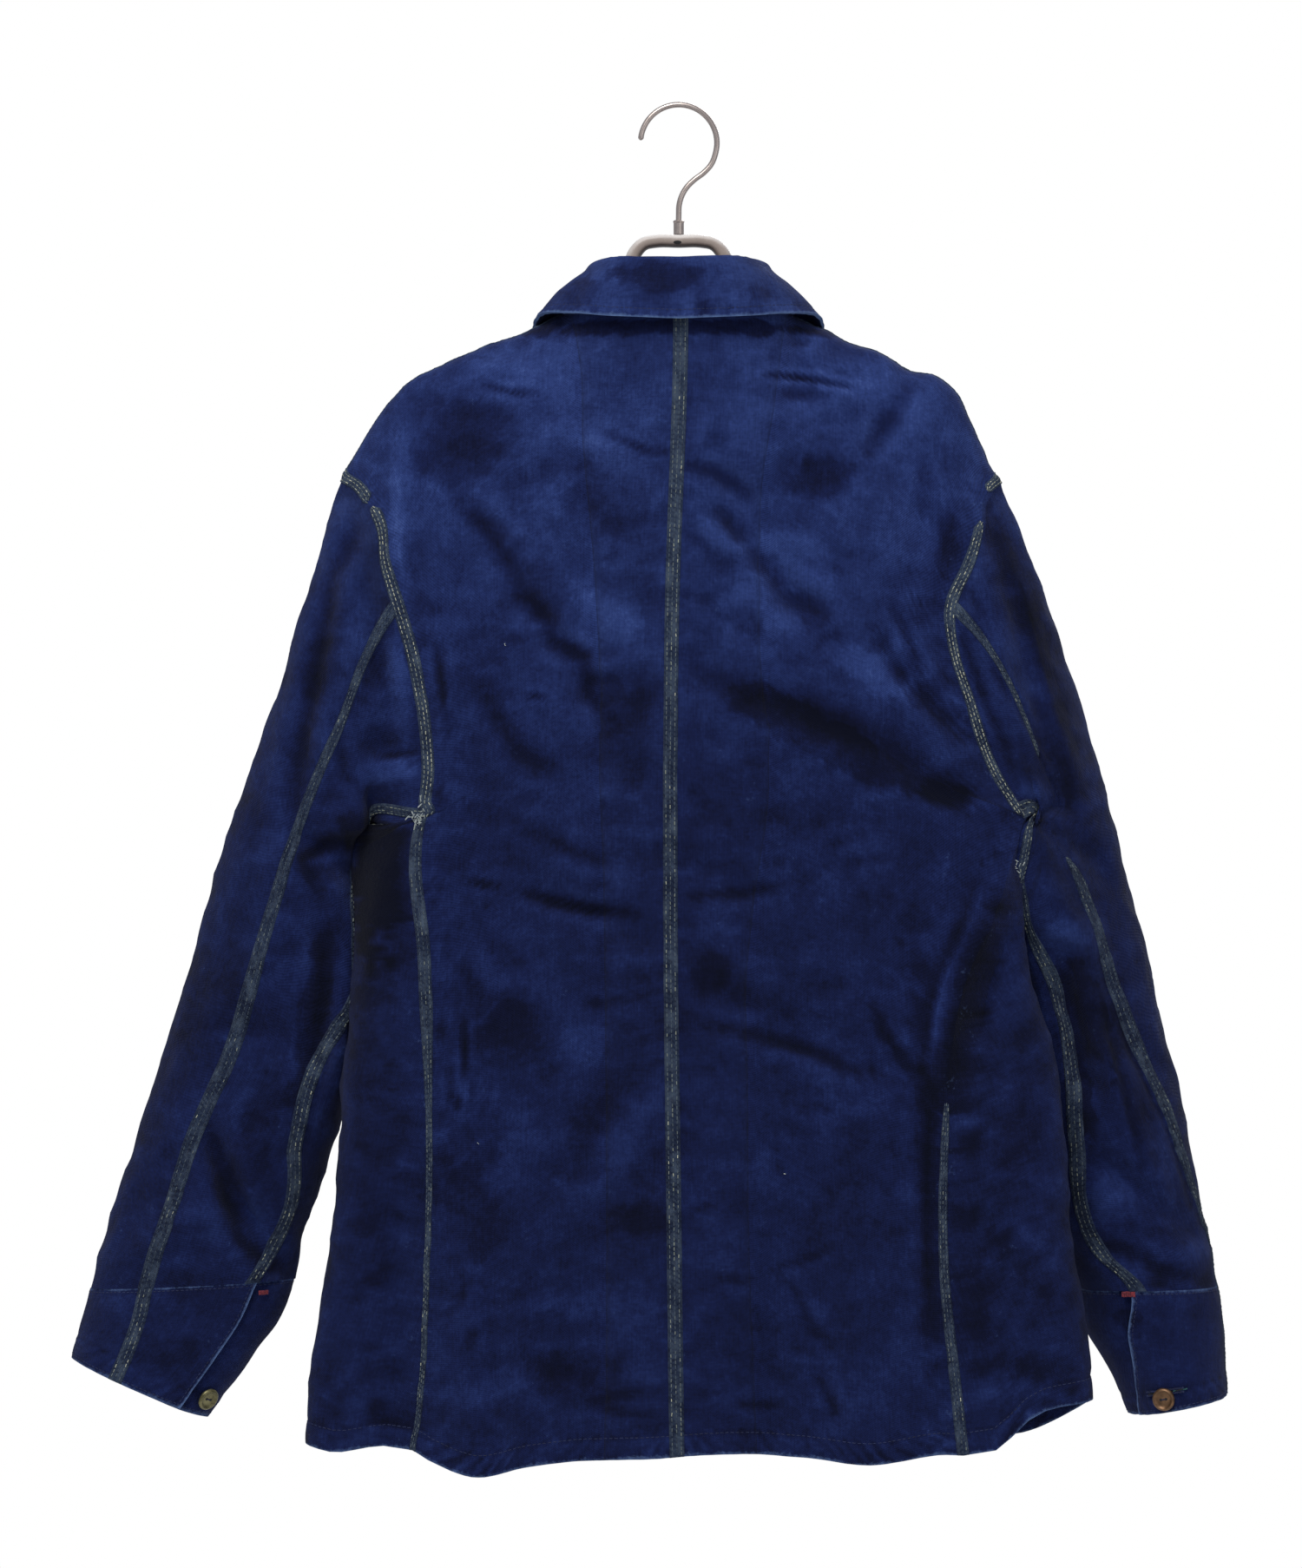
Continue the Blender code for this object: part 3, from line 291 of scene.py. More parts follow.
def section_at(p):
    """Reach (0 at the middle, 1 at the side) and depth share for p: 0 back, 1 side, 2 front."""
    p = np.asarray(p, float)
    half = np.where(p > 1, 2 - p, p)
    reach = np.interp(np.abs(half), ALONG, REACH) * np.sign(half)
    return reach, np.interp(np.abs(half), ALONG, DEPTH)


def place_on_section(reach):
    return np.interp(reach, REACH, ALONG)


# Middle of the back, and the hem seen from behind
CENTRE_BACK = smooth_curve([(-100, 1), (-142, 1), (-311, -4.3), (-472, -5.4), (-681, -3.2), (-850, -1)])
HEM = smooth_curve([(-230, -826), (-213, -830), (-188, -827), (-166, -828), (-150, -836), (-125, -844),
                    (-94, -839), (-67, -836), (-18, -834), (31, -831), (78, -833), (120, -837),
                    (156, -832), (198, -827), (216, -810), (256, -799)])
HEM_MIDDLE = -830.0
FRONT_HEM = -833.0


class Side:
    """One half of the garment: sign is -1 for the wearer's left, +1 for the right."""

    def __init__(self, sign, edge, ridge, side_seam, back_armhole, front_armhole, shoulder, underarm,
                 outer, inner, centre, half_depth, elbow, inseam, cuff_end, arch):
        self.sign = sign
        self.name = "left" if sign < 0 else "right"
        self.edge = smooth_curve(edge)
        self.ridge = smooth_curve(ridge)
        self.side_seam = smooth_curve(side_seam)
        self.back_armhole = smooth_curve(back_armhole)
        self.front_armhole = smooth_curve(front_armhole)
        self.shoulder = shoulder
        self.underarm = underarm
        self.outer_x = smooth_curve([(t, x) for t, x, z in outer])
        self.outer_z = smooth_curve([(t, z) for t, x, z in outer])
        self.inner_x = smooth_curve([(t, x) for t, x, z in inner])
        self.inner_z = smooth_curve([(t, z) for t, x, z in inner])
        self.centre = smooth_curve(centre)
        self.half_depth = smooth_curve(half_depth)
        self.elbow = smooth_curve(elbow)
        self.inseam = smooth_curve(inseam)
        self.cuff_end = cuff_end
        self.arch = arch
        self.armhole_place = self.fit_armhole()

    def reach_of(self, x, z):
        middle = self.sign * CENTRE_BACK(z)
        return (x - middle) / (self.edge(np.minimum(z, self.shoulder[1])) - middle)

    def armhole_height(self, degrees):
        middle = (self.shoulder[1] + self.underarm) / 2
        half = (self.shoulder[1] - self.underarm) / 2
        return middle + half * np.cos(np.radians(degrees))

    def fit_armhole(self):
        """Place on the body's section for each angle round the armhole."""
        keys = []
        for degrees in range(-60, 421, SOLID_RING_STEP):
            turn = degrees % 360
            z = self.armhole_height(turn)
            if turn in (0, 180):
                keys.append((degrees, 1.0))
                continue
            line = self.back_armhole if turn < 180 else self.front_armhole
            place = float(place_on_section(self.reach_of(line(z), z)))
            keys.append((degrees, place if turn < 180 else 2 - place))
        return smooth_curve(keys)


LEFT = Side(
    sign=-1,
    edge=[(-229, 208.5), (-300, 196), (-380, 188), (-440, 187), (-525, 196), (-636, 209), (-697, 214.5),
          (-740, 221), (-783, 227), (-845, 231)],
    ridge=[(72, -128.5), (96, -139.4), (147, -160.8), (180, -182), (194, -204), (206, -225), (209, -229.4),
           (235, -300)],
    side_seam=[(-440, 158), (-455, 161), (-525, 156.5), (-606, 154), (-675, 153.8), (-727, 155.5),
               (-785, 158), (-845, 166)],
    back_armhole=[(-229, 206), (-252, 188), (-290, 181), (-321, 170.4), (-354, 162), (-386, 157),
                  (-411, 155), (-441, 158)],
    front_armhole=[(-229, 206), (-270, 184), (-330, 167), (-390, 157), (-425, 163), (-441, 174)],
    shoulder=(208.5, -229.4), underarm=-445.0,
    outer=[(0, 208.5, -229.4), (0.08, 221.4, -268), (0.16, 234.2, -311), (0.24, 246.6, -354),
           (0.40, 277.6, -439.5), (0.565, 303.4, -525), (0.65, 315.7, -568), (0.74, 329.1, -611),
           (0.82, 342.5, -654), (0.91, 357, -697), (1.0, 367, -734), (1.13, 378, -777)],
    inner=[(0, 187, -445), (0.03, 194, -441), (0.07, 200, -449), (0.12, 202, -468), (0.24, 203.5, -500),
           (0.40, 203.5, -545), (0.565, 206, -590),
           (0.65, 208, -612), (0.74, 212, -636), (0.82, 220, -660), (0.91, 233.5, -695), (1.0, 240.5, -728),
           (1.05, 250, -754), (1.09, 268, -780), (1.13, 293, -814)],
    centre=[(0, -2), (0.12, 5), (0.24, 12), (0.40, 18), (0.65, 23), (1.13, 24)],
    half_depth=[(0, 30), (0.10, 37), (0.24, 42), (0.6, 43), (0.9, 38), (1.0, 33), (1.13, 36)],
    elbow=[(0, 75), (0.1, 88), (0.3, 83), (0.5, 78), (0.66, 74), (0.79, 66), (0.9, 67), (1.0, 65),
           (1.13, 71)],
    inseam=[(0, 165), (0.12, 172), (0.3, 176), (0.45, 168), (0.56, 142), (0.68, 131), (0.78, 133),
            (0.9, 148), (1.0, 132), (1.13, 128)],
    cuff_end=1.13, arch=12.0)

RIGHT = Side(
    sign=1,
    edge=[(-231, 198), (-268, 200), (-330, 200), (-360, 204), (-400, 211), (-438, 218), (-470, 214),
          (-506, 215), (-549, 220), (-568, 227), (-595, 234), (-640, 239), (-713, 245), (-744, 250.5),
          (-786, 254.5), (-845, 257)],
    ridge=[(72, -128.5), (94, -139.4), (140, -160.8), (174, -182), (184.5, -204), (194, -225), (198, -231),
           (225, -300)],
    side_seam=[(-438, 213), (-466, 205), (-506, 192), (-538, 177), (-584, 167), (-630, 163.5),
               (-727, 163.5), (-778, 168.8), (-845, 176)],
    back_armhole=[(-231, 196), (-248, 187), (-268, 186), (-284, 180), (-300, 172), (-318, 167.5),
                  (-343, 172), (-365, 179), (-391, 187), (-410, 194.6), (-425, 202.6), (-440, 213)],
    front_armhole=[(-231, 196), (-270, 184), (-330, 172), (-385, 172), (-425, 186), (-440, 203)],
    shoulder=(198, -231.0), underarm=-444.0,
    outer=[(0, 198, -231), (0.08, 214.4, -268), (0.16, 230.5, -311), (0.24, 245.5, -354),
           (0.32, 258.9, -396.6), (0.40, 271.2, -439.5), (0.48, 281.9, -482.4), (0.565, 293.2, -525.3),
           (0.65, 302.8, -568.2), (0.74, 314.6, -611), (0.82, 322.7, -654), (0.91, 329.6, -696.8),
           (1.0, 337.5, -734), (1.06, 341.5, -760), (1.16, 343.6, -802)],
    inner=[(0, 218, -444), (0.03, 224, -442), (0.07, 229, -453), (0.12, 229, -472), (0.24, 224, -500),
           (0.40, 217, -545), (0.565, 216, -590),
           (0.65, 218, -612), (0.74, 222, -640), (0.82, 228, -665), (0.91, 237, -700), (1.0, 248, -735),
           (1.04, 254, -757), (1.10, 270, -785), (1.16, 283, -814)],
    centre=[(0, -2), (0.12, 10), (0.24, 26), (0.40, 39), (0.65, 44), (1.16, 46)],
    half_depth=[(0, 30), (0.10, 38), (0.24, 45), (0.4, 50), (0.65, 50), (0.9, 46), (1.0, 44), (1.16, 46)],
    elbow=[(0, 75), (0.14, 94), (0.28, 84), (0.42, 74), (0.56, 66), (0.72, 48), (0.85, 26), (0.92, 8),
           (1.0, 0), (1.16, -4)],
    inseam=[(0, 165), (0.12, 165), (0.3, 140), (0.49, 118), (0.64, 118), (0.77, 127), (0.89, 134),
            (0.94, 128), (1.0, 106), (1.06, 120), (1.12, 136), (1.16, 150)],
    cuff_end=1.16, arch=5.0)


# Large folds seen from behind: start and end (x, z), width and height; a hollow is negative
BODY_FOLDS = [
    ((118, -176), (150, -262), 13, -8.0),
    ((60, -242), (120, -222), 20, -5.0),
    ((34, -238), (70, -300), 13, -7.0),
    ((-118, -284), (-22, -408), 15, -5.0),
    ((-150, -330), (-60, -470), 17, 4.0),
    ((-76, -488), (-22, -510), 11, -4.5),
    ((-2, -464), (48, -488), 12, -4.0),
    ((30, -552), (118, -588), 14, -4.5),
    ((-147, -360), (-147, -440), 9, 6.0),
    ((208, -442), (183, -510), 10, 7.0),
    ((183, -510), (162, -600), 10, 6.0),
    ((214, -466), (187, -560), 9, -12.0),
    ((-124, -720), (-122, -846), 22, 11.0),
    ((-174, -690), (-176, -846), 13, -11.0),
    ((-60, -730), (-58, -846), 20, -4.0),
    ((110, -700), (116, -846), 22, 8.0),
    ((54, -740), (52, -846), 16, -4.0),
    ((168, -700), (176, -846), 15, -6.0),
    ((40, -640), (10, -780), 20, 3.0),
]

FRONT_FOLDS = [
    ((-120, -190), (-150, -300), 15, -7.0),
    ((122, -190), (150, -300), 15, -7.0),
    ((-70, -320), (-130, -430), 18, -5.0),
    ((80, -330), (140, -440), 18, -5.0),
    ((-130, -560), (-126, -846), 22, 8.0),
    ((-178, -600), (-180, -846), 14, -8.0),
    ((120, -560), (124, -846), 22, 8.0),
    ((186, -620), (190, -846), 14, -8.0),
    ((70, -600), (66, -846), 16, -4.0),
    ((-66, -600), (-70, -846), 16, -4.0),
]

SLEEVE_FOLDS = [
    ((-186, -312), (-176, -372), 9, -10.0),
    ((-180, -398), (-166, -404), 9, -9.0),
    ((-228, -455), (-203, -478), 9, -9.0),
    ((-214, -480), (-206, -516), 7, 5.0),
    ((-284, -648), (-262, -690), 10, -8.0),
    ((-262, -690), (-246, -716), 10, -8.0),
    ((-296, -560), (-226, -588), 11, -4.5),
    ((-252, -520), (-290, -560), 12, 4.0),
    ((-300, -690), (-345, -712), 10, 4.0),
    ((203, -300), (231, -420), 10, -8.0),
    ((222, -300), (246, -410), 9, 5.0),
    ((206, -412), (226, -428), 8, 6.0),
    ((226, -428), (262, -474), 9, -10.0),
    ((240, -494), (256, -520), 9, 7.0),
    ((232, -520), (252, -600), 10, -10.0),
    ((262, -566), (292, -590), 10, -4.5),
    ((270, -600), (300, -676), 11, 5.0),
    ((268, -660), (318, -696), 10, -7.0),
]

FRONT_SLEEVE_FOLDS = [
    ((-216, -330), (-204, -430), 10, -7.0),
    ((-226, -478), (-262, -500), 11, -6.0),
    ((-250, -560), (-300, -590), 11, -5.0),
    ((-270, -660), (-330, -690), 11, -6.0),
    ((216, -330), (226, -430), 10, -7.0),
    ((236, -478), (266, -500), 11, -6.0),
    ((246, -560), (296, -590), 11, -5.0),
    ((262, -660), (318, -690), 11, -6.0),
]


def relief(folds, x, z):
    """Sum of soft ridges and hollows, each along a short line."""
    total = np.zeros(np.broadcast(x, z).shape)
    for start, end, width, height in folds:
        run = np.array(end, float) - np.array(start, float)
        length = math.hypot(run[0], run[1])
        along = ((x - start[0]) * run[0] + (z - start[1]) * run[1]) / length
        across = ((x - start[0]) * run[1] - (z - start[1]) * run[0]) / length
        past = np.maximum(np.maximum(-along, along - length), 0)
        total = total + height * np.exp(-(across / width) ** 2 - (past / (1.6 * width)) ** 2)
    return total


def body_point(side, p, z):
    """Outer surface of the body in millimetres."""
    p, z = np.broadcast_arrays(np.asarray(p, float), np.asarray(z, float))
    reach, share = section_at(p)
    middle = side.sign * CENTRE_BACK(z)
    out = middle + reach * (side.edge(np.minimum(z, side.shoulder[1])) - middle)
    across = np.abs(out)
    back = p <= 1
    neck = np.clip(across / NECK_HALF_WIDTH, 0, 1)
    neckline = NECK_BACK_TOP + (NECK_SIDE_TOP - NECK_BACK_TOP) * neck ** 2
    over_neck = np.where(back, neckline, NECK_SIDE_TOP)
    top = np.where(across < NECK_HALF_WIDTH, over_neck, side.ridge(across))
    fade = np.exp(-np.maximum(top - z, 0) / RIDGE_FALLOFF)
    opening = np.where(back, NECK_BACK_DEPTH * np.sqrt(1 - neck ** 2), 0)
    depth = np.sqrt(opening ** 2 * fade + BODY_DEPTH ** 2 * (1 - fade))
    x = side.sign * out
    folds = np.where(back, relief(BODY_FOLDS, x, z), relief(FRONT_FOLDS, x, z))
    swing = -SIDE_SWING * reach ** 4 * smooth_step(-z, 400, 500)
    facing = np.where(back, -1.0, 1.0)
    y = swing + facing * share * (depth + folds * (1 - fade))
    return np.stack([x, y, z], axis=-1)


def armhole_point(side, degrees):
    return body_point(side, side.armhole_place(np.mod(degrees, 360)), side.armhole_height(degrees))


def tube_point(side, t, degrees):
    """Sleeve tube before its head is fitted to the armhole."""
    angle = np.radians(degrees)
    c, s = np.cos(angle), np.sin(angle)
    outer_x, inner_x = side.outer_x(t), side.inner_x(t)
    outer_z, inner_z = side.outer_z(t), side.inner_z(t)
    x = side.sign * ((outer_x + inner_x) / 2 + (outer_x - inner_x) / 2 * c)
    z = (outer_z + inner_z) / 2 + (outer_z - inner_z) / 2 * c
    y = side.centre(t) - side.half_depth(t) * np.sign(s) * np.abs(s) ** 0.9
    return np.stack(np.broadcast_arrays(x, y, z), axis=-1)


def sleeve_point(side, t, degrees):
    """Outer surface of a sleeve: t is 0 at the armhole and 1 at the cuff seam."""
    t, degrees = np.broadcast_arrays(np.asarray(t, float), np.asarray(degrees, float))
    point = tube_point(side, t, degrees)
    turn = np.degrees(np.arccos(np.cos(np.radians(degrees))))
    head = 0.35 - 0.22 * smooth_step(turn, 100, 170)
    fade = np.clip(1 - t / head, 0, 1) ** 3
    point = point + (armhole_point(side, degrees) - tube_point(side, 0.0, degrees)) * fade[..., None]
    arch = side.arch * np.exp(-((t - 0.07) / 0.04) ** 2) * smooth_step(turn, 115, 160)
    lift = smooth_step(t, 0.0, 0.08)
    facing = np.sin(np.radians(degrees))
    x, z = point[..., 0], point[..., 2]
    back = relief(SLEEVE_FOLDS, x, z) * np.maximum(facing, 0) ** 0.7
    front = relief(FRONT_SLEEVE_FOLDS, x, z) * np.maximum(-facing, 0) ** 0.7
    point[..., 1] += (front - back) * lift
    point[..., 2] += arch * lift * smooth_step(facing, -0.1, 0.25)
    return point


def fill(top, bottom, start, end, weights):
    """Fill a four-sided outline: straight rows from start to end, bent only near top and bottom."""
    u = arc_shares(top)[:, None]
    top_bend = top - (top[0] * (1 - u) + top[-1] * u)
    bottom_bend = bottom - (bottom[0] * (1 - u) + bottom[-1] * u)
    u = u[None]
    v = np.asarray(weights)[:, None, None]
    rows = (1 - u) * start[:, None] + u * end[:, None]
    return rows + top_bend * (1 - v) ** TOP_BEND_FADE + bottom_bend * v ** BOTTOM_BEND_FADE


def arc_shares(points):
    step = np.linalg.norm(np.diff(points, axis=0), axis=1)
    along = np.concatenate([[0], np.cumsum(step)])
    return along / along[-1]


def in_plane(place, z):
    return np.stack([np.asarray(place, float) * SECTION_SCALE, np.asarray(z, float)], axis=-1)


def top_columns(side):
    """Half widths of the neck and shoulder columns, from the middle out."""
    neck = NECK_HALF_WIDTH * np.sin(np.linspace(0, math.pi / 2, NECK_COLUMNS + 1))
    shoulder = np.linspace(NECK_HALF_WIDTH, side.shoulder[0], SHOULDER_COLUMNS + 1)[1:]
    return neck, shoulder


def hem_height(side, place):
    """Hem along the section: the photo's line behind, a level line in front."""
    reach = section_at(place)[0]
    edge = side.edge(HEM_MIDDLE)
    across = side.sign * reach * edge
    front = FRONT_HEM + 8 * smooth_step(np.abs(across), 90, 230)
    behind = HEM(across)
    corner = HEM(side.sign * edge)
    share = smooth_step(place, SIDE_PLACE, 1.25)
    return np.where(place > SIDE_PLACE, corner + (front - corner) * share, behind)


def side_seam_rows(side):
    """Side seam from the underarm to the hem, as places and heights."""
    start = side.armhole_height(SIDE_SEAM_AT_ARMHOLE)
    guess = place_on_section(side.reach_of(side.side_seam(HEM_MIDDLE), HEM_MIDDLE))
    bottom = float(hem_height(side, guess))
    z = np.linspace(start, bottom, ROWS_BELOW_ARMHOLE + 1)[1:]
    place = place_on_section(side.reach_of(side.side_seam(z), z))
    return in_plane(place, z)


def back_panel(side):
    neck, shoulder = top_columns(side)
    top_x = np.concatenate([neck, shoulder])
    neckline = NECK_BACK_TOP + (NECK_SIDE_TOP - NECK_BACK_TOP) * (neck / NECK_HALF_WIDTH) ** 2
    top_z = np.concatenate([neckline, side.ridge(shoulder)])
    reach = side.reach_of(top_x, top_z)
    reach[0], reach[-1] = 0.0, 1.0
    top = in_plane(place_on_section(reach), top_z)
    angles = np.arange(0, SIDE_SEAM_AT_ARMHOLE + 1, RING_STEP)
    armhole = in_plane(side.armhole_place(angles), side.armhole_height(angles))
    end = np.concatenate([armhole, side_seam_rows(side)])
    end[0] = top[-1]
    weights = (end[:, 1] - end[0, 1]) / (end[-1, 1] - end[0, 1])
    places = arc_shares(top) * end[-1, 0] / SECTION_SCALE
    bottom = in_plane(places, hem_height(side, places))
    bottom[-1] = end[-1]
    start = in_plane(np.zeros(len(weights)), top_z[0] + (bottom[0, 1] - top_z[0]) * weights)
    grid = fill(top, bottom, start, end, weights)
    return body_point(side, grid[..., 0] / SECTION_SCALE, grid[..., 1])


def front_top(side):
    """Top of a front as x and z: the lap, the neck and the shoulder."""
    angle = np.linspace(0, FRONT_NECK_TURN, NECK_COLUMNS + 1)[::-1]
    neck_x = NECK_HALF_WIDTH * np.cos(angle)
    neck_z = NECK_SIDE_TOP - NECK_FRONT_DROP * np.sin(angle)
    lap_x = np.linspace(-FRONT_LAP, neck_x[0], LAP_COLUMNS + 1)[:-1]
    lap_z = np.interp(lap_x, (0, neck_x[0]), (NECK_SIDE_TOP - NECK_FRONT_DROP, neck_z[0]))
    shoulder = top_columns(side)[1]
    return (np.concatenate([lap_x, neck_x, shoulder]),
            np.concatenate([lap_z, neck_z, side.ridge(shoulder)]))


def underarm_dip(place, angles):
    """How far a front's rows dip below the underarm, where the sleeve's underside meets them."""
    rows_below = SOLID_ROWS_BELOW * np.arange(1, ROWS_BELOW_ARMHOLE + 1) / ROWS_BELOW_ARMHOLE + 1
    below = np.concatenate([np.maximum((180 - angles) / SOLID_RING_STEP, 0), rows_below])[:, None]
    dip = UNDERARM_DIP * np.where(below < 1, below, 0.7 ** (below - 1))
    clear = smooth_step(place - place[:, -1:], 0, 0.1) * (below < SOLID_ROWS_BELOW)
    return dip * np.exp(-((place - SIDE_PLACE) / 0.13) ** 2) * clear


def front_panel(side):
    """Rows run from the overlapping front edge round the side to the side seam."""
    top_x, top_z = front_top(side)
    reach = side.reach_of(top_x, top_z)
    reach[-1] = 1.0
    place = FRONT_MIDDLE - np.sign(reach) * place_on_section(np.abs(reach))
    top = in_plane(place, top_z)
    angles = np.arange(360, SIDE_SEAM_AT_ARMHOLE - 1, -RING_STEP)
    armhole = in_plane(side.armhole_place(angles), side.armhole_height(angles))
    end = np.concatenate([armhole, side_seam_rows(side)])
    end[0] = top[-1]
    weights = arc_shares(end)
    places = place[0] + (end[-1, 0] / SECTION_SCALE - place[0]) * arc_shares(top)
    bottom = in_plane(places, hem_height(side, places))
    bottom[-1] = end[-1]
    edge_top = NECK_SIDE_TOP - NECK_FRONT_DROP
    start = in_plane(np.full(len(weights), place[0]), edge_top + (bottom[0, 1] - edge_top) * weights)
    grid = fill(top, bottom, start, end, weights)
    place = grid[..., 0] / SECTION_SCALE
    grid[..., 1] -= underarm_dip(place, angles)
    points = body_point(side, place, grid[..., 1])
    if side.sign > 0:
        under = 1 - smooth_step(points[..., 0], FRONT_LAP + 4, FRONT_LAP + 22)
        points[..., 1] -= LAP_STEP * under * (place > 1.5)
    return points


def sleeve_rows():
    return np.linspace(0, 1, SLEEVE_ROWS + 1)[:, None] ** SLEEVE_ROW_POWER


def cuff_rows(side):
    return np.linspace(1, side.cuff_end, CUFF_ROWS + 1)[:, None]


def under_sleeve(side):
    t = sleeve_rows()
    share = np.linspace(0, 1, UNDER_COLUMNS + 1)[None]
    degrees = side.elbow(t) + (side.inseam(t) - side.elbow(t)) * share
    return sleeve_point(side, t, degrees)


def top_sleeve(side):
    t = sleeve_rows()
    share = np.linspace(0, 1, TOP_COLUMNS + 1)[None]
    degrees = side.inseam(t) + (360 + side.elbow(t) - side.inseam(t)) * share
    return sleeve_point(side, t, degrees)


def cuff_grid(side):
    """Cuff band: from the overlap's edge round the sleeve to the end of the underlap."""
    t = cuff_rows(side)
    elbow, slit = side.elbow(t), side.inseam(t)
    over = slit + (elbow - slit) * np.linspace(0, 1, UNDER_COLUMNS + 1)[None]
    around = elbow + (slit - 360 - elbow) * np.linspace(0, 1, TOP_COLUMNS + 1)[None, 1:]
    lap = slit - 360 - np.linspace(0, CUFF_LAP_TURN, CUFF_LAP_COLUMNS + 1)[None, 1:]
    degrees = np.concatenate([over, around, lap + 0 * t], axis=1)
    points = sleeve_point(side, t, degrees)
    sink = CUFF_LAP_SUNK * smooth_step(slit - degrees, 335, 359)
    inward = (tube_axis(side, t) - points) * (1, 1, 0)
    return points + unit(inward) * sink[..., None]


def tube_axis(side, t):
    x = side.sign * (side.outer_x(t) + side.inner_x(t)) / 2
    z = (side.outer_z(t) + side.inner_z(t)) / 2
    return np.stack(np.broadcast_arrays(x, side.centre(t), z), axis=-1)


def unit(vectors):
    return vectors / np.linalg.norm(vectors, axis=-1, keepdims=True)


def face_normals(grid, outward):
    """Normals of a grid's quads, turned to agree with the outward hint."""
    across = grid[1:, 1:] - grid[:-1, :-1]
    other = grid[:-1, 1:] - grid[1:, :-1]
    normal = np.cross(across, other)
    return -normal if np.sum(normal * outward[:-1, :-1]) < 0 else normal


def own_normals(grid, outward):
    """Unit normals at a grid's own points."""
    faces = face_normals(grid, outward)
    total = np.zeros_like(grid)
    for rows in (slice(0, -1), slice(1, None)):
        for columns in (slice(0, -1), slice(1, None)):
            total[rows, columns] += faces
    return unit(total)


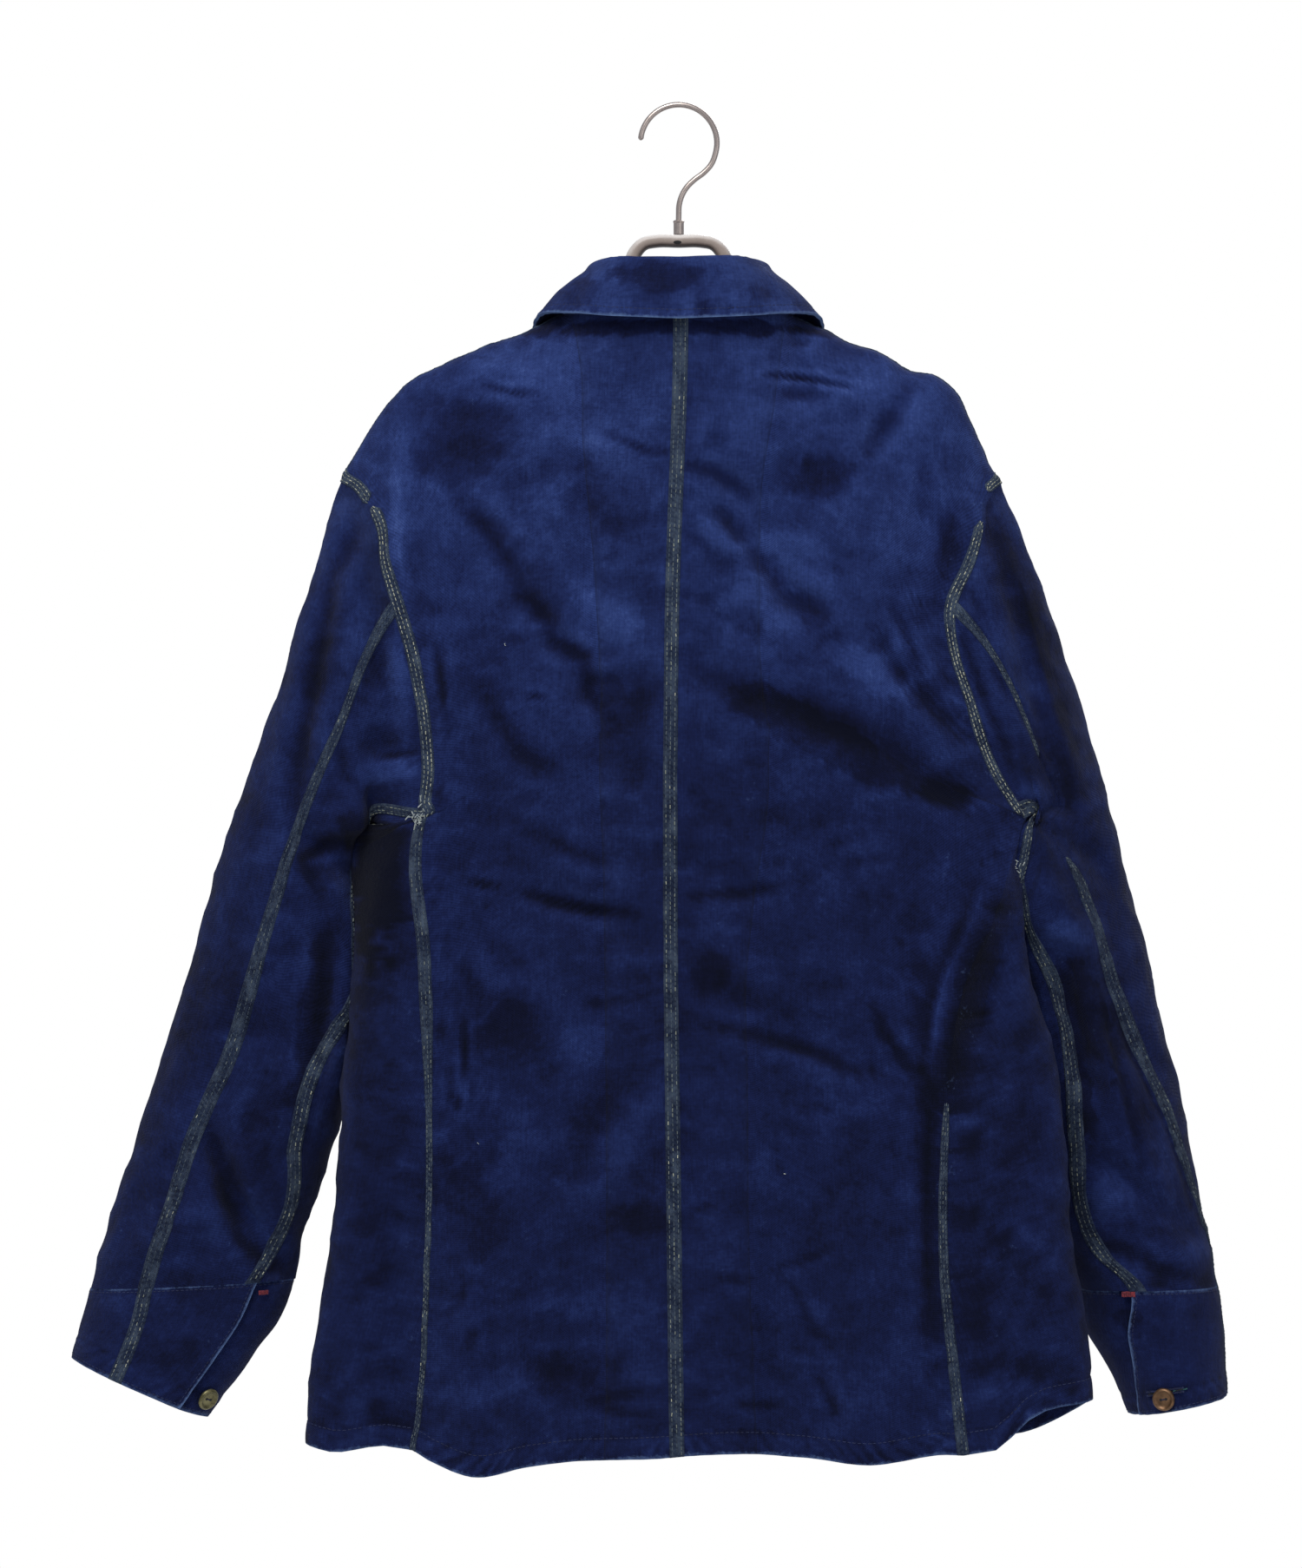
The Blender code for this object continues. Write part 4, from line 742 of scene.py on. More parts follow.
# Creases seen from behind: width and height of a soft trough or ridge, and the (x, z) points it
# runs through. A hollow's height is negative.
BACK_CREASES = [
    (2.5, -1.2, ((-120, -173), (-103, -178), (-88, -180))),
    (26, -3.0, ((-150, -190), (-112, -226))),
    (6, 1.5, ((-171, -190), (-172, -300), (-171, -430))),
    (8, -2.5, ((-138, -238), (-118, -262), (-100, -290), (-85, -312))),
    (6, 1.4, ((-124, -245), (-99, -264))),
    (10, -1.5, ((-77, -220), (-61, -229), (-50, -251), (-37, -269), (-19, -273))),
    (9, 1.6, ((-70, -202), (-41, -213), (-14, -238))),
    (3, -1.0, ((-48, -203), (-22, -214), (-3, -217))),
    (6, -2.6, ((-104, -300), (-81, -318), (-77, -331), (-59, -343), (-55, -365), (-39, -385))),
    (12, 1.6, ((-73, -300), (-37, -320), (-17, -338))),
    (5, 1.5, ((-60, -350), (-18, -341))),
    (14, -2.2, ((-50, -358), (-22, -372), (-36, -390))),
    (7, -2.2, ((-121, -363), (-108, -381), (-99, -399), (-81, -412))),
    (2.5, -1.0, ((-93, -365), (-81, -367))),
    (10, -1.5, ((-50, -398), (-34, -408), (-19, -422))),
    (4, -1.6, ((-148, -336), (-146, -362), (-146, -376))),
    (5, -1.2, ((-150, -421), (-144, -434))),
    (6, -1.8, ((-98, -445), (-66, -461), (-42, -469))),
    (4.5, -2.6, ((-98, -485), (-77, -492), (-56, -497), (-28, -500))),
    (4, -1.2, ((-132, -480), (-108, -483))),
    (7, 1.6, ((-127, -520), (-114, -541), (-81, -549))),
    (18, -2.4, ((-118, -560), (-92, -585))),
    (4, -1.0, ((-55, -555), (-17, -550))),
    (12, 1.4, ((-72, -572), (-45, -588))),
    (10, 2.0, ((-76, -687), (-45, -665), (-12, -607))),
    (12, -1.6, ((-92, -668), (-62, -640), (-36, -600))),
    (8, -1.2, ((-44, -680), (-24, -688), (-4, -694))),
    (2.5, 1.4, ((-140, -553), (-135, -595), (-131, -617))),
    (3.5, -1.5, ((-134, -563), (-134, -595))),
    (3.5, -1.2, ((-143, -608), (-132, -619))),
    (4, -0.9, ((-132, -724), (-135, -737))),
    (4, -0.9, ((-126, -753), (-128, -761))),
    (12, -1.6, ((-92, -770), (-66, -786), (-39, -794))),
    (5, -1.2, ((-76, -801), (-22, -793), (-6, -790))),
    (4, -1.0, ((-55, -803), (-4, -809))),
    (3.5, -1.0, ((-33, -815), (-6, -815))),
    (8, -1.6, ((-186, -806), (-172, -812), (-159, -818))),
    (2.2, -1.6, ((53, -168), (74, -168.5), (90, -171), (108, -175))),
    (4, -1.0, ((63, -180), (88, -180))),
    (3, -0.9, ((70, -148), (83, -147))),
    (7, -2.2, ((141, -178), (132, -191), (123, -207), (114, -220))),
    (15, -2.0, ((74, -222), (92, -228), (108, -238))),
    (5, -1.0, ((150, -220), (152, -258))),
    (8, -1.6, ((167, -253), (166, -289))),
    (5, -1.6, ((5, -224), (20, -227), (34, -236), (42, -243))),
    (7, -2.6, ((27, -253), (38, -269), (52, -285), (65, -300), (88, -314), (94, -323))),
    (6, -1.2, ((7, -262), (20, -278), (38, -287))),
    (6, -1.0, ((0, -302), (20, -306))),
    (5, -1.0, ((16, -309), (38, -327))),
    (6, 1.4, ((3, -247), (38, -282))),
    (7, 1.8, ((38, -300), (67, -325), (94, -349))),
    (11, -4.2, ((5, -340), (20, -354), (45, -365), (79, -376), (101, -385), (128, -399), (150, -414),
                (172, -430))),
    (7, -3.0, ((121, -325), (128, -341), (137, -352), (150, -365), (163, -379), (172, -388))),
    (3.5, -1.4, ((130, -309), (139, -327), (148, -347))),
    (8, -1.2, ((105, -405), (123, -420))),
    (6, -1.0, ((7, -419), (16, -437))),
    (9, -1.6, ((150, -420), (182, -432))),
    (4.5, -1.6, ((1, -490), (20, -487), (41, -487), (60, -482))),
    (6, -1.2, ((9, -470), (25, -476))),
    (8, 1.6, ((20, -505), (60, -550))),
    (10, -1.5, ((10, -528), (30, -546))),
    (4, -1.0, ((106, -467), (127, -465))),
    (3.5, -0.8, ((92, -458), (111, -450))),
    (5.5, -2.4, ((20, -568), (47, -573), (84, -584), (100, -592), (117, -596))),
    (5, -1.3, ((119, -555), (127, -574), (140, -592), (154, -600))),
    (4, -0.9, ((58, -649), (66, -662))),
    (3, -0.8, ((9, -681), (20, -678))),
    (3.5, -0.9, ((58, -718), (82, -710), (98, -702))),
    (3.5, -0.9, ((28, -724), (47, -724))),
    (4, -1.1, ((68, -726), (82, -753), (92, -764))),
    (4, -1.2, ((84, -780), (98, -809))),
    (3.5, -1.0, ((33, -801), (63, -801))),
    (5, 1.8, ((197, -472), (192, -488), (181, -515), (165, -547), (160, -574), (160, -600))),
    (7, -2.0, ((153, -600), (154, -680), (154, -760))),
]

SLEEVE_CREASES = [
    (7, -3.2, ((-199, -262), (-215, -291), (-221, -330), (-230, -379), (-240, -445))),
    (6, 1.5, ((-207, -252), (-224, -297), (-232, -338), (-244, -390))),
    (7, -2.4, ((-180, -311), (-185, -338), (-191, -359), (-197, -373))),
    (6, 1.5, ((-172, -330), (-168, -395))),
    (2.5, -1.2, ((-187, -404), (-163, -400))),
    (8, 2.2, ((-200, -412), (-158, -412))),
    (4, -1.5, ((-211, -377), (-207, -412), (-201, -421))),
    (5, -2.6, ((-199, -456), (-220, -458), (-230, -466), (-226, -482), (-220, -495))),
    (6, 1.6, ((-212, -478), (-206, -488))),
    (7, -3.2, ((-291, -633), (-284, -656), (-277, -680), (-268, -703), (-256, -717), (-245, -724))),
    (8, 1.6, ((-270, -642), (-261, -694), (-249, -703))),
    (6, -2.6, ((-217, -507), (-219, -540), (-224, -586), (-233, -623), (-238, -647))),
    (5, 1.2, ((-235, -507), (-228, -533))),
    (11, -4.2, ((189, -240), (199, -264), (211, -296), (225, -330), (235, -359), (245, -389),
                (253, -419))),
    (6, -2.0, ((219, -371), (231, -399), (239, -419), (243, -443))),
    (4, -1.2, ((180, -300), (187, -316))),
    (3.5, -1.6, ((173, -326), (189, -369), (201, -395), (205, -409))),
    (3, -1.4, ((191, -343), (205, -367), (228, -403))),
    (8, 2.0, ((209, -423), (227, -423))),
    (6, -2.4, ((207, -430), (226, -446))),
    (9, 2.0, ((224, -508), (252, -516))),
    (9, -3.0, ((240, -524), (240, -560), (246, -594))),
    (2.5, -1.3, ((256, -503), (261, -526), (268, -552), (276, -572), (289, -603), (304, -634),
                 (319, -679), (329, -698))),
    (3, -1.4, ((263, -552), (271, -585), (278, -618), (287, -657))),
    (4, -1.2, ((240, -603), (248, -613), (250, -633))),
    (12, 1.5, ((256, -675), (284, -675))),
    (6, -3.0, ((253, -705), (276, -710), (302, -723), (337, -733))),
    (4, -1.6, ((289, -728), (324, -738))),
    (6, 1.3, ((314, -709), (329, -709))),
]

# The fronts aren't in the photograph: creases like the back's, at the same heights as what pulls
FRONT_CREASES = [
    (7, -2.4, ((-156, -236), (-122, -270), (-88, -316))),
    (5, -1.8, ((-132, -196), (-104, -212), (-70, -214))),
    (9, -3.0, ((-168, -404), (-128, -392), (-88, -366), (-46, -352))),
    (6, 1.5, ((-130, -300), (-96, -338), (-52, -380))),
    (5, -1.8, ((-46, -462), (-90, -480), (-134, -482))),
    (12, -2.0, ((-70, -520), (-104, -560))),
    (6, -1.6, ((-130, -610), (-86, -640), (-40, -646))),
    (9, 1.8, ((-44, -560), (-80, -620), (-96, -690))),
    (4, -1.2, ((-60, -736), (-98, -752))),
    (5, -1.4, ((-34, -792), (-88, -800), (-128, -796))),
    (7, -2.4, ((152, -240), (118, -276), (92, -312))),
    (4, -1.4, ((120, -186), (96, -200), (64, -204))),
    (10, -3.2, ((172, -424), (140, -398), (96, -382), (40, -368))),
    (6, 1.6, ((136, -306), (90, -340), (48, -392))),
    (5, -1.8, ((36, -486), (82, -494), (120, -478))),
    (12, -2.0, ((60, -548), (96, -590))),
    (5, -1.6, ((40, -612), (84, -622), (140, -604))),
    (8, 1.7, ((36, -660), (74, -700), (84, -756))),
    (4, -1.2, ((120, -700), (92, -738))),
    (5, -1.4, ((40, -800), (90, -806), (134, -790))),
    (6, -1.6, ((30, -240), (54, -262), (62, -300))),
    (6, -1.6, ((-30, -252), (-50, -282), (-54, -318))),
]

# Front of both sleeves, by distance from the jacket's middle
SLEEVE_FRONT_CREASES = [
    (7, -3.0, ((200, -262), (214, -300), (228, -350), (240, -410))),
    (5, 1.5, ((188, -300), (204, -360), (212, -400))),
    (6, -2.6, ((206, -450), (228, -470), (252, -476))),
    (5, -2.0, ((214, -510), (242, -528), (272, -530))),
    (6, 1.6, ((224, -490), (262, -506))),
    (7, -2.6, ((232, -590), (262, -600), (292, -588))),
    (5, -2.0, ((246, -640), (276, -654), (304, -650))),
    (6, -2.4, ((256, -690), (288, -706), (318, -704))),
    (4, 1.4, ((262, -672), (300, -684))),
]

# Darker and paler patches seen from behind, partly painted shade and light of folds and parts, partly dye
# tone; the first is a painted shadow under the collar, and those at (178, -560) and (-184, -480) are painted
# shade beside the sleeves: centre x and z, half sizes, lean in degrees, and amount
BODY_SHADE_AND_TONES = [
    (0, -139, 104, 4.5, 0, -1.1), (-132, -206, 30, 30, 20, -0.2), (-48, -246, 28, 22, -20, -0.25),
    (-34, -385, 14, 38, 10, -0.25), (-100, -571, 22, 26, 25, -0.2), (-24, -687, 19, 9, 0, -0.45),
    (-65, -780, 25, 13, 10, -0.41), (-172, -812, 12, 7, 0, -0.36), (91, -229, 21, 13, 15, -0.45),
    (166, -271, 8, 19, 0, -0.54), (90, -392, 70, 13, -27, -0.7), (166, -426, 17, 8, 0, -0.63),
    (20, -537, 11, 14, 0, -0.45), (-78, -300, 12, 26, 35, -0.36), (-120, -330, 14, 60, 8, -0.15),
    (-110, -450, 26, 20, -30, -0.1), (60, -560, 40, 8, -14, -0.15), (100, -700, 34, 18, 25, -0.27),
    (-130, -680, 22, 30, 30, -0.32), (40, -760, 40, 16, 10, -0.27), (152, -590, 8, 60, 4, -0.45),
    (178, -560, 9, 70, -14, -1.4), (188, -700, 18, 90, 0, -0.36), (-184, -480, 17, 46, 0, -1.7),
    (-186, -620, 14, 110, 0, -0.36), (-171, -307, 5, 110, 3, 0.31), (-45, -319, 26, 16, 15, 0.45),
    (-57, -579, 17, 13, 10, 0.31), (-172, -362, 7, 30, 0, 0.22), (-110, -165, 44, 14, 22, 0.25),
    (110, -168, 44, 16, -24, 0.25), (-25, -205, 26, 10, 0, 0.19), (60, -300, 30, 40, -30, 0.35),
    (120, -350, 30, 12, -30, 0.5), (-60, -470, 34, 14, 20, 0.19), (70, -480, 36, 20, -20, 0.19),
    (-90, -650, 22, 20, 30, 0.22), (100, -610, 34, 18, 10, 0.19), (-40, -740, 30, 16, 0, 0.19),
    (-120, -790, 24, 12, 0, 0.25), (110, -790, 30, 12, 0, 0.22), (60, -660, 20, 22, 0, 0.15),
]
# Sleeve patches, listed the same way: the one at (-195, -452) is painted shade in the hollow under the left
# arm; the others are partly painted shade and light of folds, partly tone
SLEEVE_SHADE_AND_TONES = [
    (-179, -412, 20, 7, 0, 0.37), (-208, -482, 7, 7, 0, 0.25), (-172, -362, 8, 32, 0, 0.22),
    (218, -423, 9, 6, 0, 0.28), (238, -513, 16, 13, -20, 0.37), (270, -675, 16, 16, 0, 0.31),
    (321, -709, 8, 9, 0, 0.28), (-230, -330, 26, 40, -20, -0.32), (-195, -452, 16, 16, 0, -0.9),
    (-226, -560, 9, 60, -12, -0.54), (-290, -560, 14, 60, -20, -0.27), (-262, -640, 12, 44, -18, -0.36),
    (-300, -700, 20, 22, 0, 0.19), (-250, -470, 12, 40, -16, 0.19), (208, -300, 16, 50, 18, -0.32),
    (240, -420, 14, 50, 16, -0.32), (256, -560, 9, 36, 16, -0.63), (282, -600, 10, 40, 14, -0.32),
    (250, -620, 8, 30, 10, -0.8), (300, -640, 8, 34, 10, 0.19), (280, -751, 11, 6, 0, -0.63),
    (-320, -770, 26, 10, -10, -0.23), (-330, -740, 20, 7, 0, 0.15),
]
# Collar patches, listed the same way: the dark one in the middle is painted shade in the hollow of the fold;
# the others are mottled tone
COLLAR_SHADE_AND_TONES = [
    (-13, -108, 26, 9, 0, -0.63), (18, -127, 8, 5, 40, -0.54), (30, -122, 7, 4, 40, 0.31),
    (48, -118, 8, 5, -30, -0.45), (-60, -118, 12, 8, 30, -0.45), (-40, -126, 12, 4, 0, 0.25),
    (64, -126, 10, 5, -20, 0.25), (4, -122, 8, 5, 0, 0.22),
]


def shared_normals(patches):
    """Unit normals at each patch's points, averaged over every patch that meets there."""
    own = {name: own_normals(grid, outward) for name, (grid, outward) in patches.items()}
    points = np.concatenate([grid.reshape(-1, 3) for grid, _outward in patches.values()])
    normals = np.concatenate([own[name].reshape(-1, 3) for name in patches])
    keys, index = np.unique(np.round(points, 1), axis=0, return_inverse=True)
    total = np.zeros((len(keys), 3))
    np.add.at(total, index.ravel(), normals)
    normals = unit(total[index.ravel()])
    shared, start = {}, 0
    for name, (grid, _outward) in patches.items():
        count = grid.shape[0] * grid.shape[1]
        shared[name] = normals[start:start + count].reshape(grid.shape)
        start += count
    return shared


def cloth_patches():
    """Outer grids of the panels that meet at seams, with outward hints."""
    patches = {}
    drawn = {"back_left": drawn_to_left_sleeve, "front_left": drawn_to_left_sleeve,
             "back_right": drawn_in_at_right, "front_right": drawn_in_at_right,
             "sleeve_under_left": turned_inseam_left, "sleeve_top_left": turned_inseam_left,
             "sleeve_under_right": drawn_to_right_side, "sleeve_top_right": drawn_to_right_side}
    for side in (LEFT, RIGHT):
        back, front = back_panel(side), front_panel(side)
        patches["back_" + side.name] = (back, np.zeros_like(back) + (0, -1, 0))
        patches["front_" + side.name] = (front, np.zeros_like(front) + (0, 1, 0))
        under, top, cuff = under_sleeve(side), top_sleeve(side), cuff_grid(side)
        axis = tube_axis(side, sleeve_rows())
        patches["sleeve_under_" + side.name] = (under, under - axis)
        patches["sleeve_top_" + side.name] = (top, top - axis)
        patches["cuff_" + side.name] = (cuff, cuff - tube_axis(side, cuff_rows(side)))
    for name, draw in drawn.items():
        grid, hint = patches[name]
        patches[name] = (draw(grid), hint)
    return patches


def drawn_to_left_sleeve(grid):
    """The left side of the body, spread below the underarm until it touches the sleeve."""
    x, y, z = grid[..., 0], grid[..., 1], grid[..., 2]
    target = np.interp(-z, *zip(*LEFT_SLEEVE_EDGE))
    share = smooth_step(-z, 430, 443) * smooth_step(632 + z, 0, 26)
    share = share * smooth_step(y, -34, 0) * smooth_step(30 - y, 2, 18) * smooth_step(-x, 150, 178)
    out = grid.copy()
    out[..., 0] = x - share * np.maximum(target + x, 0)
    return out


def turned_inseam_left(grid):
    """The left sleeve's inseam, turned a little to the back above the elbow."""
    x, y, z = grid[..., 0], grid[..., 1], grid[..., 2]
    share = smooth_step(-z, 462, 505) * smooth_step(640 + z, 0, 60) * np.exp(-((y - 9) / 20) ** 2)
    share = share * smooth_step(232 + x, 0, 20)
    corner = np.exp(-np.hypot(x - LEFT_CORNER[0], z - LEFT_CORNER[1]) ** 2 / LEFT_CORNER_SIZE ** 2)
    turned = share[..., None] * np.array(LEFT_INSEAM_SHIFT)
    return grid + turned + corner[..., None] * np.array(LEFT_CORNER_SHIFT)


def drawn_in_at_right(grid):
    """The right side of the body, narrower where the sleeve hangs in front of it."""
    x, z = grid[..., 0], grid[..., 2]
    share = smooth_step(-z, 442, 462) * smooth_step(545 + z, 0, 45)
    out = grid.copy()
    out[..., 0] = x - share * np.maximum(x - RIGHT_SIDE_LIMIT, 0)
    return out


def drawn_to_right_side(grid):
    """The right sleeve's inseam corner, drawn in and back over the side of the body."""
    x, y, z = grid[..., 0], grid[..., 1], grid[..., 2]
    share = np.interp(-z, *zip(*RIGHT_INSEAM_DRAW)) * np.exp(-((y - 8) / 22) ** 2)
    share = share * smooth_step(262 - x, 0, 30)
    return grid + share[..., None] * np.array(RIGHT_INSEAM_SHIFT)


def turn_to(grid, edge):
    """Turn a grid so that the named edge is its first column."""
    if edge == "end":
        return grid[:, ::-1]
    if edge == "top":
        return np.swapaxes(grid, 0, 1)
    if edge == "bottom":
        return np.swapaxes(grid[::-1], 0, 1)
    return grid


def turn_back(grid, edge):
    """Undo turn_to."""
    if edge == "bottom":
        return np.swapaxes(grid, 0, 1)[::-1]
    return turn_to(grid, edge)


def run_lengths(grid):
    """Distance along each row from its first point."""
    step = np.linalg.norm(np.diff(grid, axis=1), axis=2)
    return np.concatenate([np.zeros((len(grid), 1)), np.cumsum(step, axis=1)], axis=1)


def from_edge(grid, edge):
    """Distance along and in from one edge, at each point of a grid."""
    turned = turn_to(grid, edge)
    away = run_lengths(turned)
    along = run_lengths(np.swapaxes(turned[:, :1], 0, 1))[0][:, None] + 0 * away
    return turn_back(along, edge), turn_back(away, edge)


def noise_at(points, size, seed):
    """Smooth noise from about -1 to 1, with waves about this size in millimetres."""
    flat = (points / size + seed).reshape(-1, 3)
    return np.array([noise.noise(Vector(point)) for point in flat]).reshape(points.shape[:-1])


def edge_noise(along, away, size, seed):
    """Smooth noise by the distances along and in from an edge."""
    return noise_at(np.stack([along, away, 0 * along], axis=-1), size, seed)


def crumple(points):
    """Unevenness of worn cloth: broad waves, dents and sharp small creases."""
    broad = noise_at(points * (1, 1, 0.7), 70, 3.1)
    dents = noise_at(points, 27, 11.7)
    sharp = np.abs(noise_at(points * (1, 1, 1.3), 34, 23.3))
    fine = np.abs(noise_at(points * (1, 1, 1.2), 15, 41.0))
    small = noise_at(points, 9, 5.9)
    rounded = BROAD_WAVES * broad + DENTS * dents + SMALL_DENTS * small
    return rounded + SHARP_CREASES * (MEAN_RIDGE - sharp) + FINE_CREASES * (MEAN_RIDGE - fine)


def creases(lines, x, z):
    """Height of listed creases, each with faint banks beside it and tapered ends."""
    total = np.zeros(np.broadcast(x, z).shape)
    for width, height, points in lines:
        points = np.array(points, float)
        run = np.diff(points, axis=0)
        lengths = np.hypot(run[:, 0], run[:, 1])
        starts = np.concatenate([[0], np.cumsum(lengths)])
        nearest = np.full(total.shape, 1e9)
        place = np.zeros(total.shape)
        for start, step, length, before in zip(points, run, lengths, starts):
            along = np.clip(((x - start[0]) * step[0] + (z - start[1]) * step[1]) / length, 0, length)
            gap = np.hypot(x - start[0] - step[0] * along / length, z - start[1] - step[1] * along / length)
            closer = gap < nearest
            nearest = np.where(closer, gap, nearest)
            place = np.where(closer, before + along, place)
        share = place / starts[-1]
        taper = (4 * np.clip(share, 0.02, 0.98) * (1 - np.clip(share, 0.02, 0.98))) ** 0.4
        trough = np.exp(-(nearest / width) ** 2)
        banks = BANK_SHARE * np.exp(-((nearest - 1.9 * width) / width) ** 2)
        total = total + height * taper * (trough - banks)
    return total


def fine_relief(name, grid, normal):
    """Listed creases on the side of the cloth that they belong to."""
    x, z = grid[..., 0], grid[..., 2]
    behind = smooth_step(-normal[..., 1], 0.05, 0.45)
    ahead = smooth_step(normal[..., 1], 0.05, 0.45)
    if name.startswith(("back", "front")):
        return behind * creases(BACK_CREASES, x, z) + ahead * creases(FRONT_CREASES, x, z)
    return behind * creases(SLEEVE_CREASES, x, z) + ahead * creases(SLEEVE_FRONT_CREASES, np.abs(x), z)


def shade_and_tone_at(patches, x, z, ragged):
    """Darker and paler patches of the cloth, with ragged edges: painted shade and light of folds, and tone.
    """
    total = np.zeros(np.broadcast(x, z).shape)
    for centre_x, centre_z, half_x, half_z, lean, amount in patches:
        turn = math.radians(lean)
        along = (x - centre_x) * math.cos(turn) + (z - centre_z) * math.sin(turn)
        up = (z - centre_z) * math.cos(turn) - (x - centre_x) * math.sin(turn)
        away = np.hypot(along / half_x, up / half_z) + 0.5 * ragged
        total = total + amount * smooth_step(1.15 - away, 0, 0.32)
    return total


def puckers(name, grid, edges):
    """Small tucks that sewing pulls up beside a seam."""
    total = np.zeros(grid.shape[:2])
    for edge in edges:
        along, away = from_edge(grid, edge)
        wander = edge_noise(along, 0 * along, 22, len(name))
        wave = np.sin(2 * math.pi * along / PUCKER_PITCH + 4 * wander)
        height = PUCKER_HEIGHT * (0.6 + wander)
        total += height * wave * np.exp(-(away / PUCKER_REACH) ** 2)
    return total


SEAM_EDGES = {"back": ("start", "end", "top"), "front": ("end", "top", "start"),
              "sleeve": ("start", "end", "top"), "cuff": ("top", "start", "end")}
HEMMED = ("back", "front", "cuff")


def hem_shape(grid):
    """A turned hem: thicker band, a groove where it is sewn, and slanted rope puckers."""
    along, away = from_edge(grid, "bottom")
    wander = edge_noise(along, away, 30, 8.3)
    rope = np.sin(2 * math.pi * (along + 0.9 * away) / HEM_ROPE_PITCH + 7 * wander)
    band = smooth_step(HEM_WIDTH + 1.5 - away, 0, 2)
    groove = np.exp(-((away - HEM_WIDTH) / 1.6) ** 2)
    return band * (0.45 + 0.26 * rope * (1 + wander)) - 0.55 * groove


def worn_edge(pale, away):
    """Paleness at a distance in from a worn edge; pale is how pale, and how far in."""
    amount, reach = pale
    return amount * np.exp(-(away / reach) ** 2)


def paleness(kind, grid, nearest):
    """How pale a panel is, by the distance to its nearest seam and to its worn edges."""
    pale = worn_edge(SEAM_PALE, nearest)
    if kind == "cuff":
        pale = pale + worn_edge(CUFF_SLIT_PALE, from_edge(grid, "start")[1])
        pale = pale + worn_edge(CUFF_SEAM_PALE, from_edge(grid, "top")[1])
    if kind in HEMMED:
        pale = pale + worn_edge(HEM_PALE, from_edge(grid, "bottom")[1])
    return np.clip(pale, 0, 1)


def shade_and_wear_of(kind, grid, normal, height, lift):
    """Darker in hollows as painted shade, pale on rubbed ridges, plus the listed patches of painted shade,
    painted light and tone.
    """
    wear = SHADE_AND_WEAR_FROM_LIFT * height + SHADE_AND_WEAR_FROM_BEND * own_bend(lift, grid)
    wear = np.where(wear > 0, RAISED_WEAR_SHARE * wear, wear)
    ragged = noise_at(grid, 16, 2.7) + 0.6 * noise_at(grid, 6, 6.1) + 0.3 * noise_at(grid, 2.6, 1.3)
    shade_and_tones = BODY_SHADE_AND_TONES if kind in ("back", "front") else SLEEVE_SHADE_AND_TONES
    behind = smooth_step(0.2 - normal[..., 1], 0, 0.25)
    return np.clip(wear + behind * shade_and_tone_at(shade_and_tones, grid[..., 0], grid[..., 2], ragged), *WEAR_AND_SHADE_LIMITS)


def dress(name, grid, normal):
    """One panel's surface: points, normals, flat cut, rubbed paleness with painted shade in hollows, and edge
    paleness.
    """
    kind = name.split("_")[0]
    nearest = np.minimum.reduce([from_edge(grid, edge)[1] for edge in SEAM_EDGES[kind]])
    placed = fine_relief(name, grid, normal) * smooth_step(nearest, 0.5, 7)
    rough = crumple(grid)
    if kind == "cuff":
        placed = placed * CUFF_CREASE_SHARE
        rough = rough * BAND_CRUMPLE_SHARE
    lift = placed + rough + puckers(name, grid, SEAM_EDGES[kind])
    if kind in HEMMED:
        lift = lift + hem_shape(grid)
    return {
        "points": grid + normal * lift[..., None],
        "normal": normal,
        "u": run_lengths(grid),
        "v": from_edge(grid, "top")[1],
        "wear": shade_and_wear_of(kind, grid, normal, placed + 0.5 * rough, lift),
        "pale": paleness(kind, grid, nearest),
    }


def own_bend(lift, grid):
    """How sharply the relief bulges out at each point."""
    bend = np.zeros_like(lift)
    for axis in (0, 1):
        height, target = np.moveaxis(lift, axis, 0), np.moveaxis(bend, axis, 0)
        step = np.linalg.norm(np.diff(np.moveaxis(grid, axis, 0), axis=0), axis=-1) + 0.01
        before, after = step[:-1], step[1:]
        level = (height[:-2] * after + height[2:] * before) / (before + after)
        target[1:-1] += height[1:-1] - level
    return bend


def quad_block(rows, columns, offset):
    """Quads of a grid of points, as an array."""
    a = offset + np.arange(rows - 1)[:, None] * columns + np.arange(columns - 1)[None]
    return np.stack([a, a + 1, a + columns + 1, a + columns], axis=-1).reshape(-1, 4)


def wall_mesh(outer, inner):
    """Closed wall between two grids of points."""
    rows, columns = outer.shape[:2]
    points = np.concatenate([outer.reshape(-1, 3), inner.reshape(-1, 3)])
    back = rows * columns
    rim = list(range(columns))
    rim += [i * columns + columns - 1 for i in range(1, rows)]
    rim += [(rows - 1) * columns + j for j in range(columns - 2, -1, -1)]
    rim += [i * columns for i in range(rows - 2, 0, -1)]
    a, b = np.array(rim), np.roll(rim, -1)
    sides = np.stack([b, a, a + back, b + back], axis=-1)
    faces = np.concatenate([quad_block(rows, columns, 0), quad_block(rows, columns, back)[:, ::-1], sides])
    return points, faces


